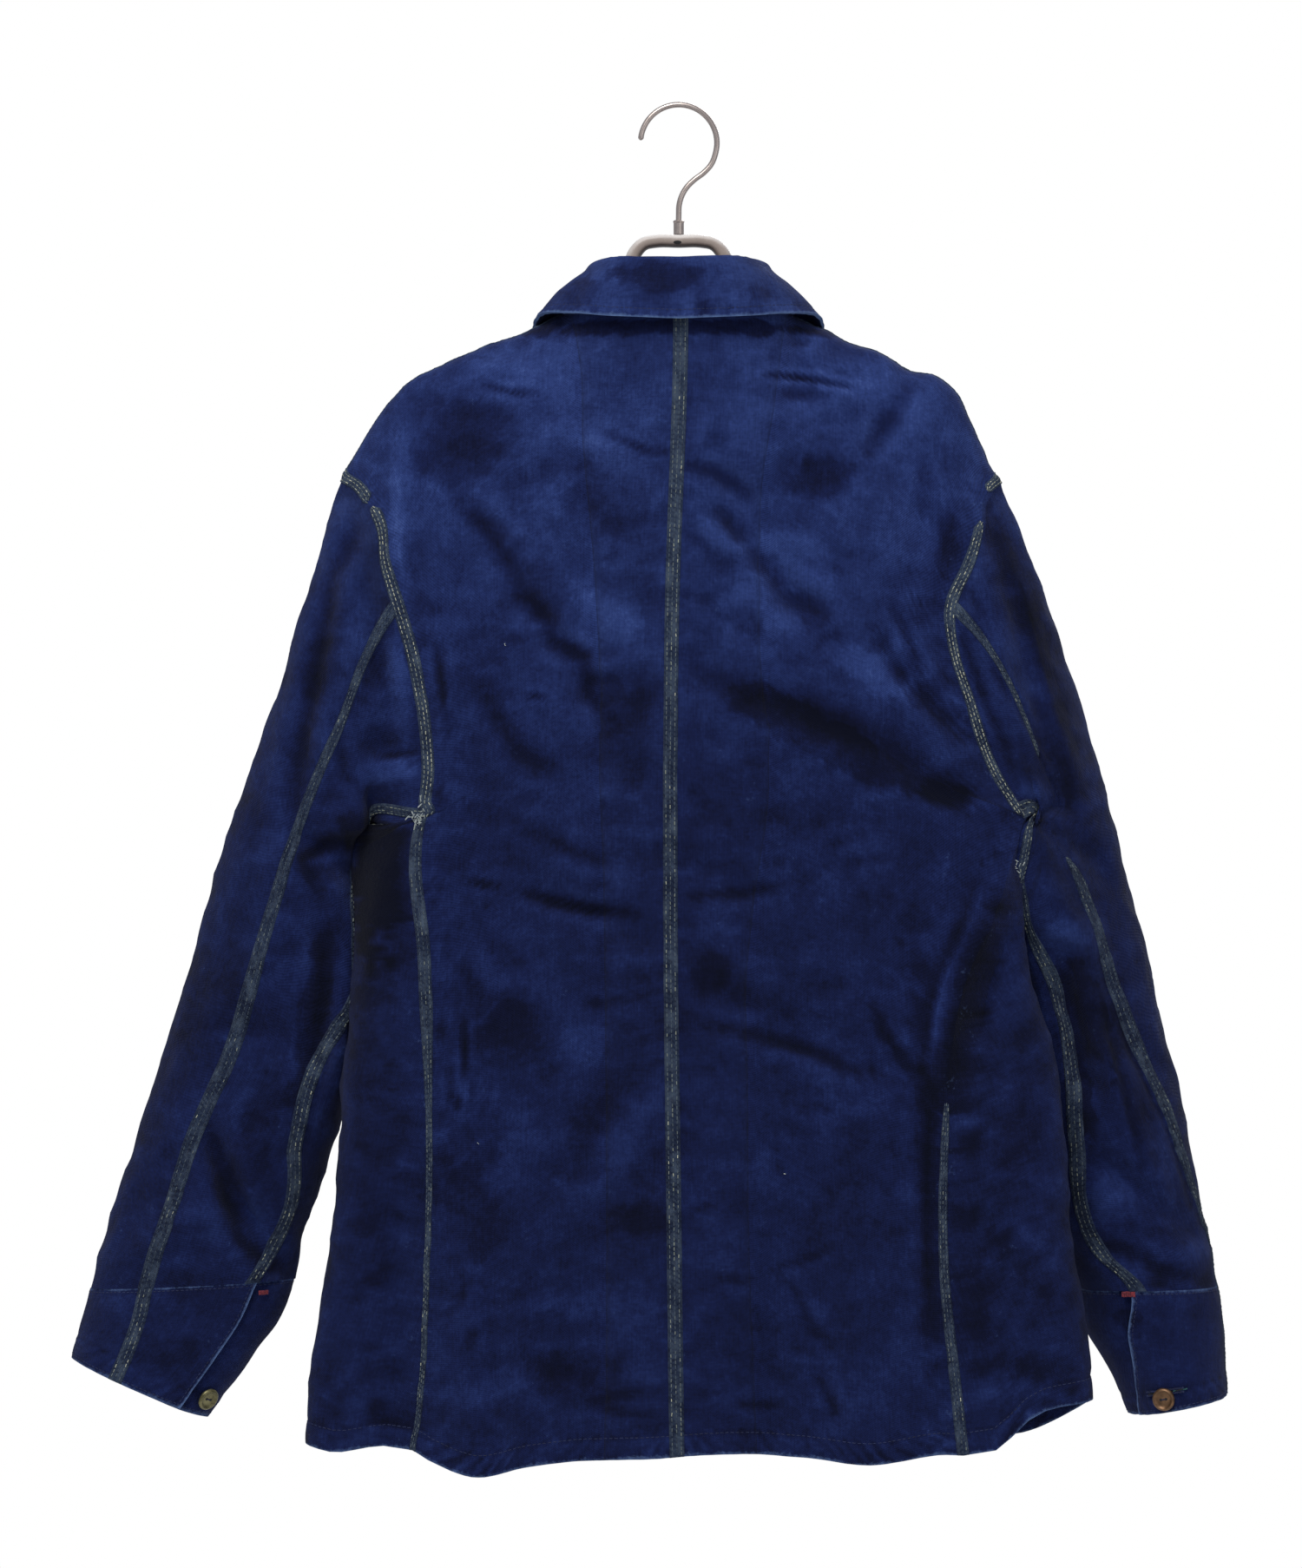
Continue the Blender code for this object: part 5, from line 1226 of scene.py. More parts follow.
def add_mesh(name, points, faces, material, slot, sharp=60, **attributes):
    """One closed piece from points in millimetres, with its numbers for the shader."""
    mesh = bpy.data.meshes.new(name)
    mesh.from_pydata((np.asarray(points) * MM).tolist(), [], [tuple(face) for face in faces])
    if signed_volume(mesh) < 0:
        mesh.flip_normals()
    mesh.shade_smooth()
    mesh.set_sharp_from_angle(angle=math.radians(sharp))
    for key, values in attributes.items():
        values = np.asarray(values, np.float32)
        vector = values.ndim == 2
        layer = mesh.attributes.new(key, "FLOAT_VECTOR" if vector else "FLOAT", "POINT")
        layer.data.foreach_set("vector" if vector else "value", values.ravel())
    piece = bpy.data.objects.new(name, mesh)
    piece.data.materials.append(material)
    bpy.context.scene.collection.objects.link(piece)
    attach(piece, "root")
    return piece


def signed_volume(mesh):
    mesh.calc_loop_triangles()
    corners = np.zeros(len(mesh.loop_triangles) * 3, np.int32)
    mesh.loop_triangles.foreach_get("vertices", corners)
    places = np.zeros(len(mesh.vertices) * 3, np.float32)
    mesh.vertices.foreach_get("co", places)
    a, b, c = places.reshape(-1, 3)[corners.reshape(-1, 3)].transpose(1, 0, 2)
    return float(np.sum(np.cross(a, b) * c))


def flat_cut(across, along):
    """Places in the flat cloth, in metres, for both faces of a wall."""
    cut = np.stack([across, along, 0 * across], axis=-1).reshape(-1, 3) * MM
    return np.tile(cut, (2, 1))


def both_faces(values):
    """One number a point, for both faces of a wall."""
    return np.tile(values.ravel(), 2)


def add_cloth(name, panel, thickness, material):
    """A panel as a thin closed shell."""
    outer = panel["points"]
    points, faces = wall_mesh(outer, outer - panel["normal"] * thickness)
    return add_mesh(name, points, faces, material, "denim", cut=flat_cut(panel["u"], panel["v"]),
                    wear=both_faces(panel["wear"]), pale=both_faces(panel["pale"]))


def lines_at(surface, distances, shares):
    """Points and normals at distances in from a turned surface's first column.

    surface is (points, normals); distances has one row for each line and one column for each share
    of the way along the edge.
    """
    both = np.concatenate(surface, axis=-1)[:, :STRIP_COLUMNS]
    along = arc_shares(both[:, 0, :3])
    index = np.interp(shares, along, np.arange(len(along)))
    low = np.minimum(index.astype(int), len(along) - 2)
    part = (index - low)[:, None, None]
    rows = both[low] * (1 - part) + both[low + 1] * part
    away = run_lengths(rows[..., :3])
    lines = []
    for distance in distances:
        column = np.sum(away <= distance[:, None], axis=1) - 1
        column = np.clip(column, 0, away.shape[1] - 2)
        pick = np.arange(len(rows))
        span = away[pick, column + 1] - away[pick, column]
        f = ((distance - away[pick, column]) / span)[:, None]
        lines.append(rows[pick, column] * (1 - f) + rows[pick, column + 1] * f)
    return np.array(lines)


def reach_at(width, shares):
    """Strip width on one side at each share: a number, or a table of (share, width)."""
    if isinstance(width, (int, float)):
        return width + 0 * shares
    return np.interp(shares, *zip(*width))


def strip_lines(first, second, reach, shares):
    """Lines across a seam strip, from the first surface's side to the second's."""
    width_first, width_second = [reach_at(width, shares) for width in reach]
    offsets = [-width_first + (width_first + width_second) * share for share in STRIP_SHARES]
    lines = []
    for offset in offsets:
        surface = first if np.mean(offset) < 0 else second
        distance = np.abs(offset) + 0 * shares
        lines.append(lines_at(surface, [distance], shares)[0])
    return np.array(lines).transpose(1, 0, 2)


def add_strip(name, first, second, reach, materials, seed, wobble=0.22, tint=0.0):
    """A felled seam: a raised, puckered band with rows of stitches. Returns both pieces."""
    length = run_lengths(second[0][:, 0][None])[0, -1]
    shares = np.linspace(0, 1, max(int(length / STRIP_STEP), 8))
    lines = strip_lines(first, second, reach, shares)
    points, normal = lines[..., :3], unit(lines[..., 3:])
    along = run_lengths(points[:, STRIP_SHARES.index(0.5)][None])[0][:, None]
    across = run_lengths(points)
    wander = edge_noise(along + 0 * across, across * 3, 12, seed)
    phase = 1.9 * np.arange(len(STRIP_SHARES))[None]
    wave = np.sin(2 * math.pi * along / STRIP_PUCKER_PITCH + 5 * wander + phase)
    inner = np.array(STRIP_HEIGHTS)[None]
    height = inner + (inner > 0) * (wobble * wave + 0.25 * wander)
    width = reach_at(reach[0], shares) + reach_at(reach[1], shares)
    tucked = smooth_step(TUCKED_WIDTH - width, 0, 1.2)[:, None]
    height = height * (1 - tucked) - TUCK_DEPTH * tucked
    top = points + normal * height[..., None]
    mesh_points, faces = wall_mesh(top, points - normal * STRIP_SUNK)
    # The pucker wave also colours the strip: paler on crests where rubbed, darker in the troughs as painted
    # shade
    band = add_mesh("strip_" + name, mesh_points, faces, materials["strip"], "denim",
                    cut=flat_cut(across, along + 0 * across), wear=both_faces(0.5 * wave * (inner > 0)),
                    pale=both_faces(0.35 + 0.5 * wander))
    columns = [STRIP_SHARES.index(share) for share in STITCH_SHARES]
    rows = [np.concatenate([top[:, column], normal[:, column]], axis=1) for column in columns]
    thread = add_stitches("stitches_" + name, rows, STITCH_PITCH, seed, materials["thread"], tint)
    return [band, thread]


def stitch_shape(length, width, proud):
    """Corners of one stitch: along, across and up."""
    low = [(a * length / 2, b * width / 2, -0.2) for a, b in ((-1, -1), (1, -1), (1, 1), (-1, 1))]
    high = [(a * length * 0.36, b * width * 0.3, proud) for a, b in ((-1, -1), (1, -1), (1, 1), (-1, 1))]
    return np.array(low + high)


BOX_FACES = np.array([(0, 3, 2, 1), (4, 5, 6, 7), (0, 1, 5, 4), (1, 2, 6, 5), (2, 3, 7, 6), (3, 0, 4, 7)])


def add_stitches(name, rows, pitch, seed, material, tint=0.0, width=0.62, proud=0.34):
    """Rows of separate stitches; each row holds points and normals along a line."""
    draw = np.random.default_rng(seed)
    shape = stitch_shape(pitch * STITCH_LENGTH_SHARE, width, proud)
    blocks, tints = [], []
    for row in rows:
        along = run_lengths(row[None, :, :3])[0]
        count = int(along[-1] / pitch)
        middle = (np.arange(count) + 0.5) * pitch + draw.normal(0, STITCH_WANDER, count)
        place = np.array([np.interp(middle, along, row[:, k]) for k in range(6)]).T
        ahead = np.array([np.interp(middle + 1.2, along, row[:, k]) for k in range(3)]).T
        behind = np.array([np.interp(middle - 1.2, along, row[:, k]) for k in range(3)]).T
        up = unit(place[:, 3:])
        forward = unit(ahead - behind)
        forward = unit(forward + np.cross(up, forward) * draw.normal(0, STITCH_TURN, (count, 1)))
        side = np.cross(up, forward)
        blocks.append(place[:, None, :3] + shape[None, :, :1] * forward[:, None]
                      + shape[None, :, 1:2] * side[:, None] + shape[None, :, 2:] * up[:, None])
        tints.append(np.clip(draw.normal(STITCH_TINT + tint, STITCH_TINT_SPREAD, count), 0, 1))
    boxes = np.concatenate(blocks)
    faces = (BOX_FACES[None] + 8 * np.arange(len(boxes))[:, None, None]).reshape(-1, 4)
    return add_mesh(name, boxes.reshape(-1, 3), faces, material, "denim", sharp=30,
                    tint=np.repeat(np.concatenate(tints), 8))


def linear(red, green, blue):
    """Linear colour from 0 to 255 display values."""
    shares = [value / 255 for value in (red, green, blue)]
    values = [s / 12.92 if s <= 0.04045 else ((s + 0.055) / 1.055) ** 2.4 for s in shares]
    return (*values, 1.0)


class Shader:
    """A material with short ways to add nodes to it."""

    def __init__(self, name, roughness, metallic=0.0, sheen=0.0):
        self.material = bpy.data.materials.new(name)
        self.material.use_nodes = True
        self.tree = self.material.node_tree
        self.surface = self.tree.nodes["Principled BSDF"]
        self.surface.inputs["Roughness"].default_value = roughness
        self.surface.inputs["Metallic"].default_value = metallic
        self.surface.inputs["Sheen Weight"].default_value = sheen

    def node(self, kind, inputs=(), **settings):
        made = self.tree.nodes.new(kind)
        for key, value in settings.items():
            setattr(made, key, value)
        for key, value in inputs:
            if isinstance(value, bpy.types.NodeSocket):
                self.tree.links.new(value, made.inputs[key])
            else:
                made.inputs[key].default_value = value
        return made

    def maths(self, operation, *values):
        return self.node("ShaderNodeMath", list(enumerate(values)), operation=operation).outputs[0]

    def attribute(self, name, output="Fac"):
        return self.node("ShaderNodeAttribute", attribute_name=name).outputs[output]

    def place(self):
        return self.node("ShaderNodeTexCoord").outputs["Object"]

    def noise(self, vector, scale, detail=2.0, roughness=0.5):
        """Noise less its mean, from about -0.5 to 0.5."""
        inputs = [("Vector", vector), ("Scale", scale), ("Detail", detail), ("Roughness", roughness)]
        made = self.node("ShaderNodeTexNoise", inputs)
        return self.maths("SUBTRACT", made.outputs["Fac"], 0.5)

    def stretched(self, vector, scale):
        return self.node("ShaderNodeVectorMath", [(0, vector), (1, scale)], operation="MULTIPLY").outputs[0]

    def total(self, *terms):
        """Sum of (socket, weight) pairs."""
        out = self.maths("MULTIPLY", *terms[0])
        for socket, weight in terms[1:]:
            out = self.maths("MULTIPLY_ADD", socket, weight, out)
        return out

    def ramp(self, value, stops):
        made = self.node("ShaderNodeValToRGB", [("Fac", value)])
        band = made.color_ramp
        while len(band.elements) < len(stops):
            band.elements.new(1.0)
        for element, (place, colour) in zip(band.elements, stops):
            element.position = place
            element.color = linear(*colour)
        return made.outputs["Color"]

    def spread(self, value, low, high, *inputs, **settings):
        """Value from low to high as a share from 0 to 1, or as other inputs say."""
        inputs = [("Value", value), ("From Min", low), ("From Max", high), *inputs]
        return self.node("ShaderNodeMapRange", inputs, **settings).outputs[0]

    def mix(self, share, first, second):
        inputs = [(0, share), (6, first), (7, second)]
        return self.node("ShaderNodeMix", inputs, data_type="RGBA").outputs[2]

    def bump(self, height, distance, strength=1.0):
        inputs = [("Height", height), ("Distance", distance), ("Strength", strength)]
        made = self.node("ShaderNodeBump", inputs)
        self.tree.links.new(made.outputs[0], self.surface.inputs["Normal"])

    def paint(self, colour):
        self.tree.links.new(colour, self.surface.inputs["Base Color"])


TWILL_PITCH = 0.0011
TWILL_TURNS = 2 * math.pi / TWILL_PITCH
# Heights in metres over which the cloth grows paler upward: painted top light and fading at the shoulders
TOP_LIGHT_AND_FADE_FROM = -0.5
TOP_LIGHT_AND_FADE_TO = -0.15
MOTTLE = 0.09
MIDDLE_TONE = 0.42
DENIM_STOPS = [(0.0, (5, 8, 26)), (0.25, (11, 16, 44)), (0.45, (19, 28, 67)), (0.62, (29, 42, 88)),
               (0.8, (43, 60, 113)), (1.0, (66, 86, 142))]
STRIP_STOPS = [(0.0, (12, 17, 34)), (0.3, (23, 30, 49)), (0.5, (36, 46, 66)), (0.75, (58, 70, 88)),
               (1.0, (92, 104, 114))]


def denim(name, stops, worn, wear_and_shade_share=1.0, top_light_and_fade_share=0.24):
    """Worn twill, paler towards the top as painted top light and fading at the shoulders: blotches, slubs, a
    diagonal rib and pale threads on edges.
    """
    shader = Shader(name, roughness=0.95, sheen=0.03)
    shader.surface.inputs["Sheen Roughness"].default_value = 0.6
    shader.surface.inputs["Specular IOR Level"].default_value = 0.07
    place = shader.place()
    cut = shader.attribute("cut", "Vector")
    clouds = shader.noise(place, 17, 3)
    blotches = shader.noise(place, 62, 3, 0.6)
    grain = shader.noise(place, 420, 3, 0.65)
    flecks = shader.noise(place, 165, 4, 0.6)
    ragged = shader.noise(shader.stretched(place, (1, 1, 1.3)), 34, 6, 0.66)
    mottle = shader.spread(ragged, -0.07, 0.07, ("To Min", -0.5), ("To Max", 0.5))
    warp = shader.noise(shader.stretched(cut, (950, 55, 1)), 1.0, 2)
    weft = shader.noise(shader.stretched(cut, (80, 900, 1)), 1.0, 2)
    # From the mesh: darker hollows and patches as painted shade, paler rubbed ridges
    wear = shader.attribute("wear")
    height = shader.node("ShaderNodeSeparateXYZ", [(0, place)]).outputs[2]
    # Paler towards the top: painted top light, with fading at the shoulders
    top_light_and_fade = shader.spread(height, TOP_LIGHT_AND_FADE_FROM, TOP_LIGHT_AND_FADE_TO, interpolation_type="SMOOTHSTEP")
    tone = shader.total((wear, 0.3 * wear_and_shade_share), (clouds, 0.22), (blotches, 0.2), (warp, 0.2),
                        (weft, 0.12), (grain, 0.3), (mottle, MOTTLE), (flecks, 0.14),
                        (top_light_and_fade, top_light_and_fade_share))
    colour = shader.ramp(shader.maths("ADD", tone, MIDDLE_TONE), stops)
    threads = shader.total((shader.attribute("pale"), 1.0), (grain, 0.9), (blotches, 0.8))
    colour = shader.mix(shader.spread(threads, 0.25, 0.95), colour, linear(*worn))
    shader.paint(colour)
    parts = shader.node("ShaderNodeSeparateXYZ", [(0, cut)])
    diagonal = shader.total((parts.outputs[0], TWILL_TURNS), (parts.outputs[1], 0.8 * TWILL_TURNS))
    rib = shader.maths("SINE", diagonal)
    shader.bump(shader.total((rib, 0.16), (warp, 0.4), (weft, 0.4), (grain, 1.3), (blotches, 1.6)), 0.0006)
    return shader.material


def thread_material():
    """Sewing thread: each stitch has its own tint, from dull blue-grey to off-white."""
    shader = Shader("stitch_thread", roughness=0.8)
    fibre = shader.noise(shader.place(), 900, 2)
    tone = shader.total((shader.attribute("tint"), 1.0), (fibre, 0.3))
    shader.paint(shader.ramp(tone, [(0.0, (30, 38, 56)), (0.35, (62, 74, 86)), (0.6, (98, 106, 104)),
                                    (0.85, (142, 146, 128)), (1.0, (184, 184, 160))]))
    shader.bump(fibre, 0.0002)
    return shader.material


def tonal_material(name, dark, pale):
    """Thread or binding in one family of colour."""
    shader = Shader(name, roughness=0.85)
    fibre = shader.noise(shader.place(), 700, 3)
    tone = shader.total((fibre, 1.0), (shader.noise(shader.place(), 120, 2), 0.8))
    shader.paint(shader.ramp(shader.maths("ADD", tone, 0.5), [(0.2, dark), (0.8, pale)]))
    shader.bump(fibre, 0.0002)
    return shader.material


def metal_material(name, dark, pale, roughness, metallic, scratch, marks=1.0):
    """Satin or dulled metal with fine scratches and a film of age."""
    shader = Shader(name, roughness=roughness, metallic=metallic)
    place = shader.place()
    age = shader.noise(place, 160, 3, 0.6)
    fine = shader.noise(shader.stretched(place, (scratch, scratch, 300)), 1.0, 2)
    tone = shader.total((age, 1.2 * marks), (fine, 0.5 * marks))
    shader.paint(shader.ramp(shader.maths("ADD", tone, 0.5), [(0.15, dark), (0.85, pale)]))
    rough = shader.total((age, 0.35 * marks), (fine, 0.2 * marks))
    rough = shader.maths("ADD", rough, roughness)
    shader.tree.links.new(rough, shader.surface.inputs["Roughness"])
    shader.bump(shader.total((fine, 1.0), (age, 0.5)), 0.00006 * marks)
    return shader.material


def plastic_material():
    """Moulded beige-grey plastic, paler on the faces that point up as painted top light."""
    shader = Shader("hanger_plastic_moulded", roughness=0.42)
    place = shader.place()
    normal = shader.node("ShaderNodeNewGeometry").outputs["Normal"]
    # Faces that point up are paler, up to near white: painted top light
    painted_top_light = shader.node("ShaderNodeSeparateXYZ", [(0, normal)]).outputs[2]
    cloud = shader.noise(place, 90, 3)
    fine = shader.noise(place, 1500, 2)
    tone = shader.total((painted_top_light, 0.42), (cloud, 0.3), (fine, 0.12))
    shader.paint(shader.ramp(shader.maths("ADD", tone, 0.42),
                             [(0.1, (104, 90, 82)), (0.45, (158, 143, 132)), (0.8, (222, 216, 210))]))
    shader.bump(shader.total((fine, 0.5), (cloud, 0.6)), 0.00008)
    return shader.material


def all_materials():
    return {
        "denim": denim("denim_twill", DENIM_STOPS, (84, 106, 146)),
        "strip": denim("denim_seam", STRIP_STOPS, (72, 84, 100), wear_and_shade_share=0.8, top_light_and_fade_share=0.2),
        "thread": thread_material(),
        "dark_thread": tonal_material("indigo_thread", (12, 16, 40), (34, 45, 86)),
        "pale_thread": tonal_material("pale_fibres", (118, 130, 140), (206, 210, 196)),
        "red_thread": tonal_material("red_thread", (66, 22, 38), (148, 54, 62)),
        "green_thread": tonal_material("green_thread", (22, 62, 66), (58, 112, 106)),
        "brown_metal": metal_material("button_brown", (58, 42, 30), (138, 104, 74), 0.42, 0.75, 400),
        "olive_metal": metal_material("button_olive", (66, 62, 40), (146, 140, 100), 0.42, 0.75, 400),
        # Nearly black: painted shade in button holes, buttonhole slits and the hanger's hole
        "hole": metal_material("button_hole", (10, 8, 8), (24, 20, 20), 0.8, 0.0, 200),
        "hook": metal_material("hook_satin", (150, 136, 128), (206, 194, 186), 0.34, 1.0, 900, marks=0.25),
        "plastic": plastic_material(),
    }


def sweep(name, centres, sections, material, slot, sharp=60):
    """Closed sweep: each section is a ring of points about its centre."""
    rings = np.asarray(centres)[:, None] + np.asarray(sections)
    count, sides = rings.shape[:2]
    k = np.arange(sides)
    faces = []
    for i in range(count - 1):
        a, b = i * sides + k, i * sides + (k + 1) % sides
        faces += [tuple(face) for face in np.stack([a, b, b + sides, a + sides], axis=-1)]
    last = (count - 1) * sides
    faces.append(tuple(range(sides - 1, -1, -1)))
    faces.append(tuple(range(last, last + sides)))
    return add_mesh(name, rings.reshape(-1, 3), faces, material, slot, sharp)


def flat_rings(centres, across, depth, sides, power=1.0):
    """Rounded rings square to a line that lies in the XZ plane; a low power squares them off."""
    tangent = unit(np.gradient(centres, axis=0))
    turn = np.linspace(0, 2 * math.pi, sides, endpoint=False)
    c = np.sign(np.cos(turn)) * np.abs(np.cos(turn)) ** power
    s = np.sign(np.sin(turn)) * np.abs(np.sin(turn)) ** power
    square = np.stack([-tangent[:, 2], 0 * tangent[:, 0], tangent[:, 0]], axis=-1)
    rings = square[:, None] * (np.asarray(across)[:, None] * c)[..., None]
    rings[..., 1] += np.asarray(depth)[:, None] * s
    return rings


def smooth_line(points, step):
    """A smooth line through points, with a point about every step."""
    points = np.asarray(points, float)
    along = run_lengths(points[None])[0]
    at = np.linspace(0, along[-1], int(along[-1] / step) + 2)
    return np.stack([smooth_curve(list(zip(along, points[:, k])))(at) for k in range(3)], axis=-1)


def add_hook(material):
    """Wire hook: open loop with a rounded tip, then an easy bend into the upright shaft."""
    tip = 1.6
    centre_z = WIRE_RADIUS - HOOK_RADIUS
    loop = [(HOOK_RADIUS * math.cos(a), centre_z + HOOK_RADIUS * math.sin(a))
            for a in np.radians(np.arange(176, -21, -9))]
    bend = [(20.0, -35.5), (15.5, -40.5), (9.5, -45.0), (4.6, -50.0), (1.6, -55.5), (0.2, -61.0)]
    shaft = [(0.0, -66.0), (0.0, SHAFT_BOTTOM)]
    line = smooth_line([(x, 0, z) for x, z in loop + bend + shaft], 0.8)
    from_tip = run_lengths(line[None])[0]
    radius = WIRE_RADIUS * np.sqrt(np.clip(1 - (1 - from_tip / tip) ** 2, 0.08, 1))
    radius = np.where(from_tip > tip, WIRE_RADIUS, radius)
    wire = sweep("hook_wire", line, flat_rings(line, radius, radius, 20), material, "hook_metal")
    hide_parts("hook")


def turned(name, profile, sides, place, axis, material, slot, squash=1.0):
    """Turned piece from (radius, height) points along an axis, with closed ends."""
    axis = Vector(axis).normalized()
    turn = np.array(Vector((0, 0, 1)).rotation_difference(axis).to_matrix())
    angle = np.linspace(0, 2 * math.pi, sides, endpoint=False)
    rings = [np.stack([radius * np.cos(angle), squash * radius * np.sin(angle), 0 * angle + height], axis=-1)
             for radius, height in profile]
    rings = np.array(rings) @ turn.T
    return sweep(name, np.zeros((len(profile), 3)) + place, rings, material, slot, sharp=35)


def add_ferrule(material):
    """Socket ring with a rolled lip, just round the shaft."""
    inner = WIRE_RADIUS + 0.05
    profile = [(inner, SHAFT_BOTTOM), (FERRULE_RADIUS, SHAFT_BOTTOM), (FERRULE_RADIUS, FERRULE_TOP - 1.6),
               (FERRULE_RADIUS + 0.3, FERRULE_TOP - 1.2), (FERRULE_RADIUS + 0.3, FERRULE_TOP - 0.5),
               (FERRULE_RADIUS - 0.4, FERRULE_TOP), (inner, FERRULE_TOP)]
    ring = turned("ferrule_ring", profile, 36, (0, 0, 0), (0, 0, 1), material, "hook_metal")
    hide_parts("ferrule")


def arm_drop(side, x):
    """Distance from the shoulder ridge down to the arm's middle, square to the slope."""
    slope = float(side.ridge(x + 1) - side.ridge(x - 1)) / 2
    return (WALL + 3.2 + arm_height(x)) * math.hypot(1, slope) + 5.0 * float(smooth_step(x, 120, 165))


def arm_height(x):
    return float(np.interp(abs(x), HANGER_STATIONS, HANGER_HALF_HEIGHTS))


def arm_depth(x):
    return float(np.interp(abs(x), HANGER_STATIONS, HANGER_HALF_DEPTHS))


def add_hanger(materials):
    """Moulded hanger: arms under the shoulders, an arch at the neck, and behind a small dark disc as painted
    shade of a hole.
    """
    arch = [(0, -83.0), (14, -83.0), (22, -84.8), (27, -90), (30.5, -100), (36, -114), (45, -127),
            (57, -136), (70, -143)]
    arm = [88, 104, 120, 136, 150, 160, HANGER_REACH]
    halves = []
    for side in (LEFT, RIGHT):
        half = [(side.sign * x, 0, z) for x, z in arch]
        half += [(side.sign * x, 0, float(side.ridge(x)) - arm_drop(side, x)) for x in arm]
        halves.append(half)
    line = smooth_line(halves[0][:0:-1] + halves[1], 2.5)
    across = [arm_height(x) for x in line[:, 0]]
    depth = [arm_depth(x) for x in line[:, 0]]
    body = sweep("hanger_moulding", line, flat_rings(line, across, depth, 40, power=0.72),
                 materials["plastic"], "hanger_plastic")
    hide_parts("hanger_body")
    back = -arm_depth(0)
    # Dark disc on the back of the arch: painted shade of a small hole
    turned("hanger_mark", [(2.5, -0.4), (2.5, 0.12), (2.0, 0.16)], 28, (-0.8, back, -84.0), (0, -1, 0),
           materials["hole"], "hanger_plastic", squash=0.42)


def add_button(node, radius, place, normal, across, materials, metal):
    """Two-hole button with thread between the holes; across is the line of the holes."""
    place, normal = np.asarray(place, float), unit(np.asarray(normal, float))
    across = unit(across - normal * np.dot(across, normal))
    profile = [(radius * share, height) for share, height in BUTTON_PROFILE]
    body = turned(node + "_metal", profile, 48, place, normal, materials[metal], "button_metal")
    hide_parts(node)
    # The holes are small dark discs: painted shade inside them
    hole = [(radius * share, height) for share, height in HOLE_PROFILE]
    for letter, end in (("a", -1), ("b", 1)):
        spot = place + across * end * radius * HOLE_OFFSET + normal * HOLE_HEIGHT
        turned(f"{node}_hole_{letter}", hole, 16, spot, normal, materials["hole"], "button_metal")
    reach = np.linspace(-BUTTON_THREAD_REACH, BUTTON_THREAD_REACH, 5) * radius
    row = [np.concatenate([place + normal * BUTTON_THREAD_HEIGHT + across * s, normal]) for s in reach]
    add_stitches(node + "_thread", [np.array(row)], radius * 0.5, 7, materials["dark_thread"], width=0.9,
                 proud=0.3)


def front_height(z):
    """How far out the middle of the overlapping front is."""
    return float(body_point(LEFT, FRONT_MIDDLE, z)[1])


def add_front_buttons(materials):
    """Buttons down the overlapping left front, each over its buttonhole."""
    for number, z in enumerate(FRONT_BUTTON_HEIGHTS, 1):
        spot = np.array([0.0, front_height(z) + BUTTON_GAP, z])
        add_button(f"front_button_{number}", FRONT_BUTTON_RADIUS, spot, (0, 1, 0), np.array([1.0, 0, 0]),
                   materials, "brown_metal")


def cuff_spot(side, t, from_slit):
    """Place on a cuff with its outward normal and the way round the arm."""
    degrees = float(side.inseam(t)) + from_slit
    here = sleeve_point(side, t, degrees)
    round_way = sleeve_point(side, t, degrees + 4) - sleeve_point(side, t, degrees - 4)
    down_way = sleeve_point(side, t + 0.02, degrees) - sleeve_point(side, t - 0.02, degrees)
    normal = unit(np.cross(round_way, down_way))
    if np.dot(normal, here - tube_axis(side, t)) < 0:
        normal = -normal
    return here, normal, unit(round_way)


def add_cuff_buttons(materials):
    for side, (t, from_slit, lift), metal in ((LEFT, LEFT_CUFF_BUTTON, "olive_metal"),
                                              (RIGHT, RIGHT_CUFF_BUTTON, "brown_metal")):
        here, normal, around = cuff_spot(side, t, from_slit)
        add_button("cuff_button_" + side.name, CUFF_BUTTON_RADIUS, here + normal * lift, normal, around,
                   materials, metal)


# Collar guide lines by share of the way round: 0 is the middle of the back, 1 the front end
FOLD_LINE = {
    "x": smooth_curve([(0, 0), (0.15, 27), (0.3, 42), (0.45, 52), (0.6, 50), (0.8, 34), (1, 13)]),
    "y": smooth_curve([(0, -40), (0.15, -36), (0.3, -24), (0.45, -4), (0.6, 17), (0.8, 36), (1, 43)]),
    "z": smooth_curve([(0, -97.5), (0.15, -96.5), (0.3, -97), (0.45, -101), (0.6, -116), (0.8, -150),
                       (1, -184)]),
}
COLLAR_EDGE = {
    "x": smooth_curve([(0, 0), (0.15, 40), (0.3, 66), (0.45, 87), (0.6, 90), (0.8, 82), (1, 68)]),
    "y": smooth_curve([(0, -48), (0.15, -45), (0.3, -32), (0.45, -8), (0.6, 21), (0.8, 39), (1, 50)]),
    "z": smooth_curve([(0, -134), (0.15, -132.5), (0.3, -130), (0.45, -130), (0.6, -146), (0.8, -186),
                       (1, -226)]),
}


def collar_guide(lines, share, sign):
    return np.array([sign * float(lines["x"](share)), float(lines["y"](share)), float(lines["z"](share))])


def collar_rise(along, outward, seam):
    """Direction in which the stand rises from the neck edge."""
    rise = unit(np.cross(outward, along))
    return rise if rise[2] - np.sign(seam[0]) * rise[0] > 0 else -rise


